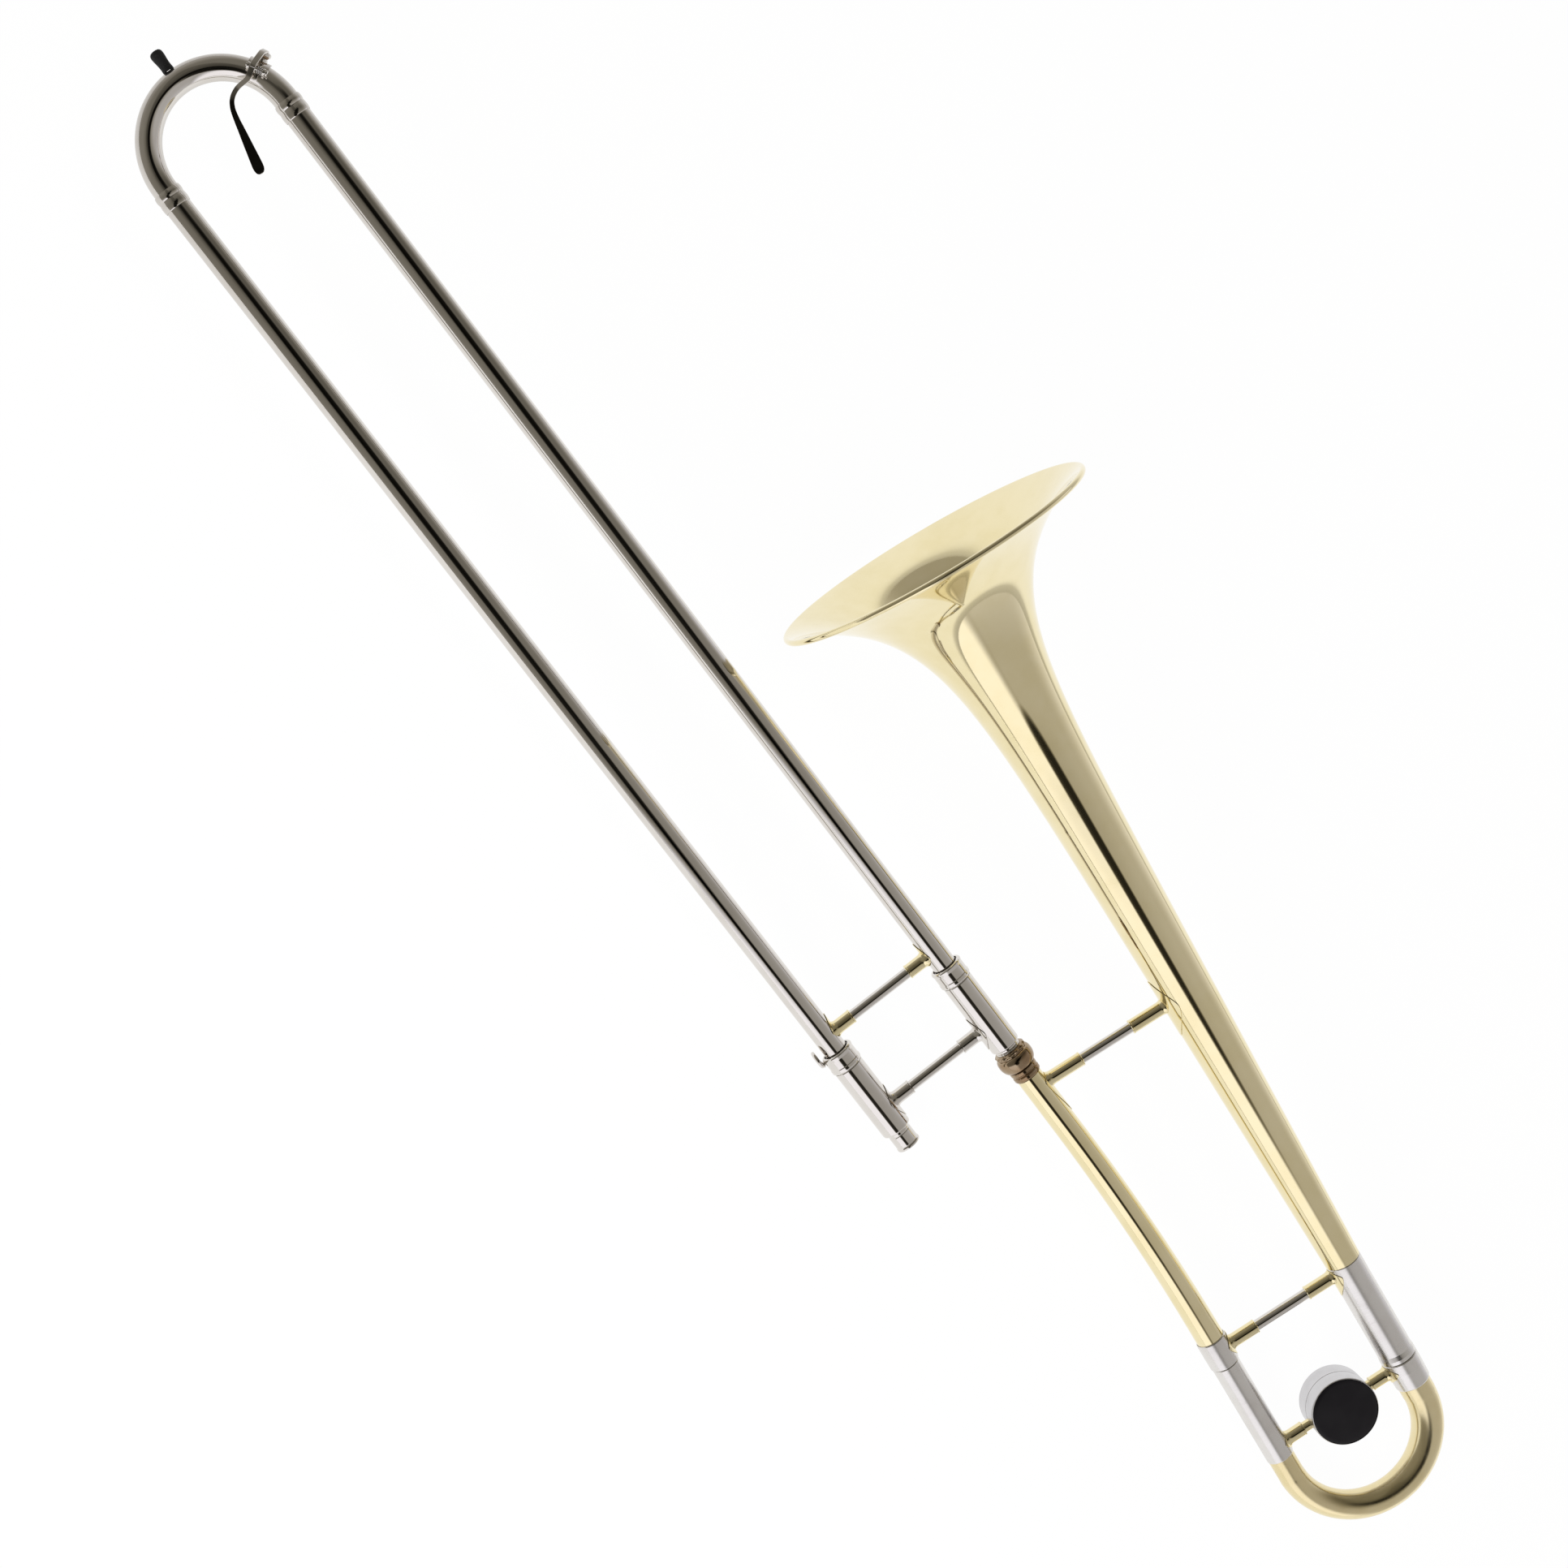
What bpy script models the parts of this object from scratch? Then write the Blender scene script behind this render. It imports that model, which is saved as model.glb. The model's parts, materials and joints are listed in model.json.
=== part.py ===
"""Tenor trombone, built as the separate pieces of its hand slide, bell section and tuning slide.

All sizes are in metres. The slide frame has its origin at the centre of the crook's bend: X runs
along the slide from the crook towards the player, Y points towards the bell and Z faces the
viewer. The bell frame has its origin at the centre of the bell's rim: its X runs down the bell
towards the tuning bow and its Y points away from the neck. Both frames hang from one empty,
which lays the instrument down on its bell rim, mouthpiece-side barrel and counterweight.
"""

import math

import bmesh
import bpy
from mathutils import Matrix, Vector

# Clearances
SOLDER_GAP = 0.0001        # between coaxial pieces that are soldered or pressed
RUN_GAP = 0.0001           # between coaxial pieces that turn or slide on each other
SEAT_GAP = 0.0003          # between pieces that rest face to face

# Roundness
TUBE_STEPS = 24
RING_STEPS = 32
BELL_STEPS = 32
BEND_STEPS = 12

# Hand slide
TUBE_SPACING = 0.0828
BORE = 0.0127
INNER_TUBE_OD = 0.0133
STOCKING_OD = 0.0136
STOCKING_LENGTH = 0.125
OUTER_TUBE_WALL = 0.0006
OUTER_TUBE_END = 0.641     # along the slide, the open end inside the barrel
INNER_TIP = 0.012          # along the slide, the inner tube's end by the crook
CROOK_OD = 0.0147
CROOK_WALL = 0.0005
CROOK_TANGENT = 0.0055     # straight run of the bend into its ferrules
FERRULE_LENGTH = 0.0105
FERRULE_WALL = 0.0004
END_RING_LENGTH = 0.010
END_RING_WALL = 0.0004

# Braces
BRACE_ROD_RADIUS = 0.0034
BRACE_SOCKET_WALL = 0.0007
BRACE_SOCKET_BORE_DEPTH = 0.010
FOOT_THICKNESS = 0.0007
FOOT_ANGLE = math.radians(52)     # how far a foot wraps its tube, to each side
OUTER_BRACE_X = 0.6115
OUTER_FOOT = (-0.012, 0.0047)     # from the brace's middle, towards the crook and the player
INNER_BRACE_X = 0.669
INNER_FOOT = (-0.012, 0.012)
SLIDE_SOCKET_LENGTH = 0.013

# Cork barrels
BARREL_OD = 0.0197
BARREL_START = 0.637
BARREL_LENGTH_BELL_SIDE = 0.053
BARREL_LENGTH_MOUTHPIECE_SIDE = 0.0505
BARREL_CHAMBER_ID = 0.0170
BARREL_SPIGOT_OD = 0.0182
BARREL_SPIGOT_LENGTH = 0.0185
FELT_LENGTH = 0.008
COLLAR_OD = 0.0208
COLLAR_LENGTH = 0.0203
COLLAR_LIP = 0.0012
LOCK_KNOB_RADIUS = 0.0028
LOCK_KNOB_HEIGHT = 0.0052
LOCK_LUG_WIDTH = 0.0024

# Mouthpiece end
RECEIVER_OD = 0.0150
RECEIVER_REACH = 0.0122    # how far the receiver stands out of its barrel
RECEIVER_SPIGOT = 0.011
SHANK_MOUTH = 0.0124       # width of the mouthpiece socket at its mouth
SHANK_THROAT = 0.0116
LEADPIPE_LENGTH = 0.19
LEADPIPE_OD = 0.0124
LEADPIPE_ID = 0.0115

# Bell joint
TENON_THREAD_OD = 0.0162
TENON_THREAD_LENGTH = 0.0128
TENON_NOSE_OD = 0.0140
TENON_NOSE_TAPER = 0.0004
TENON_NOSE_LENGTH = 0.0095
NUT_OD = 0.0212
NUT_LENGTH = 0.0152
NUT_LIP = 0.0018
NUT_SCALLOPS = 10
NUT_SCALLOP_DEPTH = 0.0007
NECK_FLANGE_OD = 0.0172
NECK_FLANGE_LENGTH = 0.0022
NECK_COLLAR_OD = 0.0176
NECK_COLLAR_LENGTH = 0.0045
NECK_COLLAR_STEP = 0.0012  # how far the collar stands out of the neck's socket
NECK_SPIGOT_LENGTH = 0.0105

# Bell
BELL_DIAMETER = 0.2032
BELL_LENGTH = 0.517        # rim to the tail
BELL_TAIL_OD = 0.0238
BELL_TAPER = 0.0268        # radius lost per metre of stem, towards the tail
FLARE_REACH = 0.032        # how quickly the flare dies away down the stem
FLARE_POWER = 0.92
BELL_WALL = 0.0006
RIM_CURL = 0.0016          # radius of the rolled edge, to the middle of its wall
RIM_WIRE = 0.0010
RIM_POSITION = 0.4182      # rim centre along the slide
BELL_ANGLE = math.radians(6.0)    # the bell's axis, from the line of the slide

# Neck
NECK_START_OD = 0.0163
NECK_END_OD = 0.0182
NECK_WALL = 0.0005
NECK_FIRST_STRAIGHT = 0.0358
NECK_LAST_STRAIGHT = 0.0110
LEG_SPACING = 0.0967
NECK_END = BELL_LENGTH + 0.0030    # along the bell, where the neck's brass stops
NECK_FERRULE_OVERLAP = 0.0065
NECK_FERRULE_END = BELL_LENGTH + 0.0160

# Tuning slide
LEG_WALL = 0.0005
NECK_LEG_OD = 0.0172
NECK_LEG_SPIGOT = 0.008
NECK_LEG_END = BELL_LENGTH + 0.0810
NECK_SLEEVE_END = BELL_LENGTH + 0.0895
BELL_SLEEVE_SPIGOT = 0.008
BELL_SLEEVE_END = BELL_LENGTH + 0.0760
BELL_LEG_START = BELL_LENGTH + 0.0100
BELL_LEG_END = BELL_LENGTH + 0.0850
BOW_FERRULE_END = BELL_LENGTH + 0.0960
SLEEVE_WALL = 0.0004
SLEEVE_RING = 0.0004       # how far the end ring of a sleeve stands out
BOW_CENTRE = BELL_LENGTH + 0.0986
BOW_START = BELL_LENGTH + 0.0860   # both ends of the brass bow, inside their sleeve and ferrule
BOW_BELL_OD = 0.0222
BOW_WALL = 0.0005

# Bell section braces, along the bell
UPPER_BRACE_X = 0.3135
UPPER_SOCKET_LENGTH = 0.024
UPPER_NECK_FOOT = (-0.0050, 0.025)
UPPER_BELL_FOOT = (-0.0185, 0.0215)
LOWER_BRACE_X = BELL_LENGTH + 0.0065
LOWER_SOCKET_LENGTH = 0.019
LOWER_NECK_FOOT = (-0.0085, 0.0085)
LOWER_BELL_FOOT = (-0.0055, 0.014)
TUNING_BRACE_X = BELL_LENGTH + 0.0825
TUNING_SOCKET_LENGTH = 0.0125
TUNING_FOOT = (-0.0055, 0.0065)

# Counterweight
WEIGHT_RADIUS = 0.0220
WEIGHT_FRONT_DEPTH = 0.0118
WEIGHT_BACK_DEPTH = 0.0130
WEIGHT_RIM = 0.0010
CAP_DEPTH = 0.0022
CAP_CROWN = 0.0006
WEIGHT_SCREW_OFFSET = 0.0115
WEIGHT_SCREW_RADIUS = 0.0016
WEIGHT_SCREW_HEAD_RADIUS = 0.0029
WEIGHT_SCREW_HEAD = 0.0026
WEIGHT_SCREW_GRIP = 0.009

# Crook bumper
BUMPER_RADIUS = 0.0034
BUMPER_LENGTH = 0.0125
BUMPER_STUD_RADIUS = 0.0014
BUMPER_STUD_LENGTH = 0.007

# Water key
KEY_ANGLE = math.radians(118.5)   # round the crook, from the slide's X towards the bell
NIPPLE_OD = 0.0060
NIPPLE_BORE = 0.0030
NIPPLE_HEIGHT = 0.0030
CORK_THICKNESS = 0.0020
CORK_RADIUS = 0.0028
CUP_WALL = 0.0007
CUP_DEPTH = 0.0022
PIVOT_OUTWARD = 0.0020
PIVOT_HEIGHT = 0.0113
PIN_RADIUS = 0.0009
PIN_LENGTH = 0.0116
HINGE_RADIUS = 0.0020
HINGE_START = -0.0038
HINGE_LENGTH = 0.0036
EAR_SPACING = 0.0090
EAR_THICKNESS = 0.0013
LEVER_THICKNESS = 0.0012
SADDLE_THICKNESS = 0.0008
SADDLE_WIDTH = 0.0118
SPRING_WIRE_RADIUS = 0.00026
SPRING_COIL_RADIUS = 0.0016
SPRING_TURNS = 3
SPRING_PITCH = 0.0010
SPRING_POINTS_A_TURN = 10

OUTER_TUBE_ID = STOCKING_OD + 2 * RUN_GAP
OUTER_TUBE_OD = OUTER_TUBE_ID + 2 * OUTER_TUBE_WALL
NECK_SLEEVE_ID = NECK_LEG_OD + 2 * RUN_GAP
NECK_SLEEVE_OD = NECK_SLEEVE_ID + 2 * SLEEVE_WALL
BOW_NECK_OD = NECK_SLEEVE_ID - 2 * SOLDER_GAP
BELL_SLEEVE_OD = BELL_TAIL_OD
BELL_SLEEVE_ID = BELL_SLEEVE_OD - 2 * SLEEVE_WALL
BELL_LEG_OD = BELL_SLEEVE_ID - 2 * RUN_GAP
HALF = TUBE_SPACING / 2
BARREL_END_BELL_SIDE = BARREL_START + BARREL_LENGTH_BELL_SIDE
BARREL_END_MOUTHPIECE_SIDE = BARREL_START + BARREL_LENGTH_MOUTHPIECE_SIDE
ALONG_X = (0.0, math.pi / 2, 0.0)
ALONG_Y = (-math.pi / 2, 0.0, 0.0)
ALONG_Z = (0.0, 0.0, 0.0)

FINISHES = {
    "nickel": ((0.60, 0.57, 0.53), 1.0, 0.16),
    "satin_nickel": ((0.66, 0.64, 0.62), 1.0, 0.32),
    "lacquered_brass": ((0.80, 0.68, 0.36), 1.0, 0.18),
    "dark_bronze": ((0.34, 0.23, 0.14), 1.0, 0.30),
    "spring_steel": ((0.50, 0.50, 0.50), 1.0, 0.25),
    "black_rubber": ((0.02, 0.02, 0.02), 0.0, 0.60),
    "black_cap": ((0.03, 0.03, 0.035), 0.0, 0.35),
    "cork": ((0.55, 0.40, 0.26), 0.0, 0.85),
    "felt": ((0.25, 0.10, 0.10), 0.0, 0.95),
}


def clear_scene():
    for obj in list(bpy.data.objects):
        bpy.data.objects.remove(obj, do_unlink=True)


def finish_named(name):
    material = bpy.data.materials.get(name)
    if material:
        return material
    colour, metallic, roughness = FINISHES[name]
    material = bpy.data.materials.new(name)
    material.use_nodes = True
    shader = material.node_tree.nodes["Principled BSDF"]
    shader.inputs["Base Color"].default_value = (*colour, 1.0)
    shader.inputs["Metallic"].default_value = metallic
    shader.inputs["Roughness"].default_value = roughness
    return material


def frame(name, parent=None, place=(0, 0, 0), turn=(0, 0, 0)):
    """An empty that carries pieces, with its origin on the axis that they move along or about."""
    empty = bpy.data.objects.new(name, None)
    bpy.context.scene.collection.objects.link(empty)
    empty.empty_display_size = 0.02
    empty.parent = parent
    empty.location = place
    empty.rotation_euler = turn
    return empty


def object_from(mesh, name="blank"):
    obj = bpy.data.objects.new(name, mesh)
    bpy.context.scene.collection.objects.link(obj)
    return obj


def baked(obj):
    """Makes the object a plain mesh of what its modifiers or its curve give."""
    bpy.context.view_layer.update()
    evaluated = obj.evaluated_get(bpy.context.evaluated_depsgraph_get())
    mesh = bpy.data.meshes.new_from_object(evaluated)
    bpy.data.objects.remove(obj, do_unlink=True)
    bm = bmesh.new()
    bm.from_mesh(mesh)
    bmesh.ops.remove_doubles(bm, verts=bm.verts, dist=1e-7)
    bm.to_mesh(mesh)
    bm.free()
    return object_from(mesh)


def combined(obj, other, operation):
    """Joins or cuts the first object with the second, which is used up."""
    modifier = obj.modifiers.new(operation.lower(), "BOOLEAN")
    modifier.object = other
    modifier.operation = operation
    modifier.solver = "EXACT"
    result = baked(obj)
    bpy.data.objects.remove(other, do_unlink=True)
    return result


def place_piece(obj, name, finish, parent, place=(0, 0, 0), turn=(0, 0, 0)):
    """Names the finished piece, dresses it and hangs it from its frame."""
    obj.name = name
    obj.data.name = name
    obj.data.materials.clear()
    obj.data.materials.append(finish_named(finish))
    obj.data.shade_smooth()
    obj.data.set_sharp_from_angle(angle=math.radians(35))
    obj.parent = parent
    obj.location = place
    obj.rotation_euler = turn
    for collection in list(obj.users_collection):
        collection.objects.unlink(obj)
    bpy.data.collections["tenor_trombone"].objects.link(obj)
    return obj


def turned(outline, steps=TUBE_STEPS):
    """A ring turned about Z from a closed outline of (radius, along) points."""
    following = outline[1:] + outline[:1]
    area = sum(a[0] * b[1] - b[0] * a[1] for a, b in zip(outline, following))
    points = outline[::-1] if area > 0 else list(outline)
    mesh = bpy.data.meshes.new("outline")
    edges = [(i, (i + 1) % len(points)) for i in range(len(points))]
    mesh.from_pydata([(radius, 0, along) for radius, along in points], edges, [])
    return screwed(mesh, steps)


def turned_solid(outline, steps=TUBE_STEPS):
    """A solid turned about Z from (radius, along) points that start and end on the axis, top first."""
    mesh = bpy.data.meshes.new("outline")
    edges = [(i, i + 1) for i in range(len(outline) - 1)]
    mesh.from_pydata([(radius, 0, along) for radius, along in outline], edges, [])
    return screwed(mesh, steps)


def screwed(mesh, steps):
    obj = object_from(mesh)
    screw = obj.modifiers.new("turn", "SCREW")
    screw.axis = "Z"
    screw.steps = steps
    screw.render_steps = steps
    screw.use_merge_vertices = True
    screw.merge_threshold = 0.00001
    return baked(obj)


def sleeve(start, end, outer, inner, steps=TUBE_STEPS):
    """A plain tube about Z, from its outer and inner diameters."""
    return turned(
        [(outer / 2, start), (outer / 2, end), (inner / 2, end), (inner / 2, start)], steps
    )


def rod(radius, start, end, steps=16):
    """A plain solid cylinder about Z."""
    return turned_solid([(0, end), (radius, end), (radius, start), (0, start)], steps)


def box(size, centre):
    bm = bmesh.new()
    bmesh.ops.create_cube(bm, size=1.0, matrix=Matrix.Translation(centre) @ Matrix.Diagonal((*size, 1)))
    mesh = bpy.data.meshes.new("box")
    bm.to_mesh(mesh)
    bm.free()
    return object_from(mesh)


def moved(obj, place=(0, 0, 0), turn=(0, 0, 0)):
    """Moves the object's mesh, and leaves the object at the origin."""
    turning = Matrix.Identity(4)
    for axis, angle in zip("XYZ", turn):
        turning = Matrix.Rotation(angle, 4, axis) @ turning
    obj.data.transform(Matrix.Translation(place) @ turning)
    return obj


def curve_tube(points, radii, sides):
    """An open skin round a run of points, as wide at each point as its radius says."""
    curve = bpy.data.curves.new("run", "CURVE")
    curve.dimensions = "3D"
    curve.bevel_depth = 1.0
    curve.bevel_resolution = sides // 2 - 2
    curve.twist_mode = "Z_UP"
    spline = curve.splines.new("POLY")
    spline.points.add(len(points) - 1)
    for point, place, radius in zip(spline.points, points, radii):
        point.co = (*place, 1)
        point.radius = radius
    return curve


def pipe(points, radii, wall, sides=TUBE_STEPS):
    """A hollow tube with open ends, bent along the points. The radii are those of its outside."""
    obj = baked(object_from(curve_tube(points, radii, sides)))
    thick = obj.modifiers.new("wall", "SOLIDIFY")
    thick.thickness = wall
    thick.offset = -1
    thick.use_even_offset = True
    return baked(outward(obj))


def wire(points, radius, sides=6):
    """A solid round wire along the points, closed at its ends."""
    curve = curve_tube(points, [radius] * len(points), sides)
    curve.use_fill_caps = True
    return outward(baked(object_from(curve)))


def outward(obj):
    bm = bmesh.new()
    bm.from_mesh(obj.data)
    bmesh.ops.remove_doubles(bm, verts=bm.verts, dist=1e-6)
    bmesh.ops.recalc_face_normals(bm, faces=bm.faces)
    bm.to_mesh(obj.data)
    bm.free()
    return obj


def bar(sections):
    """A flat bar lofted through (centre, across, up) sections, which are half sizes as vectors."""
    bm = bmesh.new()
    rings = []
    for centre, across, up in sections:
        corners = (across + up, up - across, -across - up, across - up)
        rings.append([bm.verts.new(Vector(centre) + corner) for corner in corners])
    for ring, following in zip(rings, rings[1:]):
        for i in range(4):
            bm.faces.new((ring[i], ring[(i + 1) % 4], following[(i + 1) % 4], following[i]))
    bm.faces.new(rings[0][::-1])
    bm.faces.new(rings[-1])
    bmesh.ops.recalc_face_normals(bm, faces=bm.faces)
    mesh = bpy.data.meshes.new("bar")
    bm.to_mesh(mesh)
    bm.free()
    return object_from(mesh)


def arc(centre, radius, start, end, steps):
    """Points in the XY plane round a centre, from one angle to another."""
    angles = [start + (end - start) * i / steps for i in range(steps + 1)]
    return [
        Vector((centre[0] + radius * math.cos(a), centre[1] + radius * math.sin(a), 0))
        for a in angles
    ]


def foot(seat, span, rows=3, columns=4):
    """A pointed oval plate round a tube along X, on its +Y side. seat gives the tube's radius at an X."""
    sunk = 0.0004
    low, high = span
    bm = bmesh.new()
    bmesh.ops.create_grid(bm, x_segments=2 * rows, y_segments=columns, size=1.0)
    for vert in bm.verts:
        share = vert.co.x
        along = share * high if share > 0 else -share * low
        angle = vert.co.y * FOOT_ANGLE * (0.14 + 0.86 * (1 - share * share))
        radius = seat(along) + SEAT_GAP - sunk
        vert.co = (along, radius * math.cos(angle), radius * math.sin(angle))
    bmesh.ops.recalc_face_normals(bm, faces=bm.faces)
    mesh = bpy.data.meshes.new("foot")
    bm.to_mesh(mesh)
    bm.free()
    obj = object_from(mesh)
    middle = min(obj.data.polygons, key=lambda face: face.center.x ** 2 + face.center.z ** 2)
    if middle.normal.y < 0:
        obj.data.flip_normals()
    thick = obj.modifiers.new("plate", "SOLIDIFY")
    thick.thickness = FOOT_THICKNESS + sunk
    thick.offset = 1
    return baked(obj)


def brace_socket(seat, reach, span, lean=0.0):
    """A brace's end: a foot round a tube that leans from X, and a socket along Y for the rod."""
    outer = BRACE_ROD_RADIUS + SOLDER_GAP + BRACE_SOCKET_WALL
    stem = moved(rod(outer, seat(0) * 0.5, reach), turn=ALONG_Y)
    joined = combined(moved(foot(seat, span), turn=(0, 0, lean)), stem, "UNION")
    low, high = span[0] - 0.01, span[1] + 0.01
    tube = turned_solid([
        (0, high), (seat(high) + SEAT_GAP, high), (seat(low) + SEAT_GAP, low), (0, low)])
    shaped = combined(joined, moved(moved(tube, turn=ALONG_X), turn=(0, 0, lean)), "DIFFERENCE")
    bore = rod(BRACE_ROD_RADIUS + SOLDER_GAP, reach - BRACE_SOCKET_BORE_DEPTH, reach + 0.01)
    return combined(shaped, moved(bore, turn=ALONG_Y), "DIFFERENCE")


def brace(name, parent, along, low, high, length, finishes):
    """A rod between two sockets across Y. low and high are (side, y of the tube's axis, seat, span, lean)."""
    socket_finish, rod_finish = finishes
    ends = []
    for (side, y, seat, span, lean), facing, turn in ((low, 1, (0, 0, 0)), (high, -1, (math.pi, 0, 0))):
        reach = seat(0) + length
        socket = brace_socket(seat, reach, span, lean)
        place_piece(socket, f"{name}_socket_{side}", socket_finish, parent, (along, y, 0), turn)
        ends.append(y + facing * (reach - BRACE_SOCKET_BORE_DEPTH + SEAT_GAP))
    bar_rod = rod(BRACE_ROD_RADIUS, *ends)
    place_piece(bar_rod, f"{name}_rod", rod_finish, parent, (along, 0, 0), ALONG_Y)


def flat_seat(diameter):
    return lambda along: diameter / 2


def build_outer_slide(parent):
    """The crook, its two tubes with their ferrules and end rings, and the hand brace."""
    rim = [Vector((CROOK_TANGENT, HALF, 0))]
    rim += arc((0, 0), HALF, math.pi / 2, math.pi * 3 / 2, BEND_STEPS)
    rim += [Vector((CROOK_TANGENT, -HALF, 0))]
    crook = pipe(rim, [CROOK_OD / 2] * len(rim), CROOK_WALL)
    place_piece(crook, "crook_bow", "nickel", parent)
    ferrule_start = 0.0005
    for side, y in (("bell_side", HALF), ("mouthpiece_side", -HALF)):
        place = (0, y, 0)
        tube = sleeve(CROOK_TANGENT + SEAT_GAP, OUTER_TUBE_END, OUTER_TUBE_OD, OUTER_TUBE_ID)
        place_piece(tube, f"outer_tube_{side}", "nickel", parent, place, ALONG_X)
        inner = OUTER_TUBE_OD + 2 * SOLDER_GAP
        ring = sleeve(
            ferrule_start, ferrule_start + FERRULE_LENGTH, inner + 2 * FERRULE_WALL, inner
        )
        place_piece(ring, f"crook_ferrule_{side}", "nickel", parent, place, ALONG_X)
        end_ring = sleeve(
            OUTER_TUBE_END - END_RING_LENGTH, OUTER_TUBE_END - SEAT_GAP, inner + 2 * END_RING_WALL, inner
        )
        if side == "mouthpiece_side":
            end_ring = combined(end_ring, lock_lug(inner / 2 + END_RING_WALL), "UNION")
        place_piece(end_ring, f"outer_end_ring_{side}", "nickel", parent, place, ALONG_X)
    brace(
        "outer_brace", parent, OUTER_BRACE_X,
        ("mouthpiece_side", -HALF, flat_seat(OUTER_TUBE_OD), OUTER_FOOT, 0),
        ("bell_side", HALF, flat_seat(OUTER_TUBE_OD), OUTER_FOOT, 0),
        SLIDE_SOCKET_LENGTH, ("lacquered_brass", "nickel"),
    )


def lock_lug(radius):
    """The low key on the outer slide's end ring that the lock ring is made to catch, about Z."""
    height = 0.0004
    length = END_RING_LENGTH * 0.6
    centre = (radius - 0.0001 + height / 2, 0, OUTER_TUBE_END - END_RING_LENGTH * 0.5)
    return box((height, LOCK_LUG_WIDTH, length), centre)


def build_bumper(parent):
    """The rubber bumper on the crook's tip, pushed over a stud."""
    surface = HALF + CROOK_OD / 2
    hole = BUMPER_STUD_RADIUS + SOLDER_GAP
    hole_depth = BUMPER_STUD_LENGTH + SEAT_GAP
    base = surface + SEAT_GAP
    tip = surface + BUMPER_LENGTH
    outline = [(0, tip), (BUMPER_RADIUS * 0.55, tip - 0.0002), (BUMPER_RADIUS * 0.9, tip - 0.0012),
               (BUMPER_RADIUS, tip - 0.003), (BUMPER_RADIUS * 0.86, base + 0.004),
               (BUMPER_RADIUS * 0.9, base), (hole, base), (hole, surface + hole_depth),
               (0, surface + hole_depth)]
    towards_tip = (0, -math.pi / 2, 0)
    place_piece(turned_solid(outline, 16), "crook_bumper", "black_rubber", parent, (0, 0, 0), towards_tip)
    stud = rod(BUMPER_STUD_RADIUS, surface + 0.0002, surface + BUMPER_STUD_LENGTH, 12)
    place_piece(stud, "bumper_stud", "nickel", parent, (0, 0, 0), towards_tip)


def build_water_key(parent, lever_frame):
    """The nipple, saddle, pin and spring on the crook, and the sprung lever with its cork.

    Both frames stand at the crook's centreline with X along the tube, Y outwards and Z up.
    """
    tube = CROOK_OD / 2
    mouth = tube + NIPPLE_HEIGHT
    nipple = turned([
        (NIPPLE_OD / 2, tube - 0.0002), (NIPPLE_OD / 2, mouth - 0.0012), (NIPPLE_OD / 2 - 0.0007, mouth),
        (NIPPLE_BORE / 2, mouth), (NIPPLE_BORE / 2, tube - 0.0002)], 16)
    nipple = combined(moved(nipple, turn=ALONG_Y), crook_cutter(SOLDER_GAP), "DIFFERENCE")
    place_piece(nipple, "water_key_nipple", "nickel", parent)
    place_piece(key_saddle(), "water_key_saddle", "nickel", parent)
    pivot = (0, PIVOT_OUTWARD, PIVOT_HEIGHT)
    pin = rod(PIN_RADIUS, -PIN_LENGTH / 2, PIN_LENGTH / 2, 12)
    head = rod(PIN_RADIUS * 1.9, PIN_LENGTH / 2 - 0.0002, PIN_LENGTH / 2 + 0.0009, 12)
    place_piece(combined(pin, head, "UNION"), "water_key_pin", "nickel", parent, pivot, ALONG_X)
    place_piece(key_spring(), "water_key_spring", "spring_steel", parent, pivot)
    cork_face = mouth + SOLDER_GAP
    to_pivot = Vector((0, -PIVOT_OUTWARD, -PIVOT_HEIGHT))
    cork = moved(rod(CORK_RADIUS, cork_face, cork_face + CORK_THICKNESS), turn=ALONG_Y)
    place_piece(moved(cork, to_pivot), "water_key_cork", "cork", lever_frame)
    lever = key_lever(cork_face + CORK_THICKNESS + SOLDER_GAP)
    place_piece(moved(lever, to_pivot), "water_key_lever", "nickel", lever_frame)


def crook_cutter(clearance):
    """A solid that follows the crook's bend with a clearance, in the water key's frame."""
    bend = arc((0, -HALF), HALF, math.pi * 0.38, math.pi * 0.62, 8)
    return wire(bend, CROOK_OD / 2 + clearance, TUBE_STEPS * 2)


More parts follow.
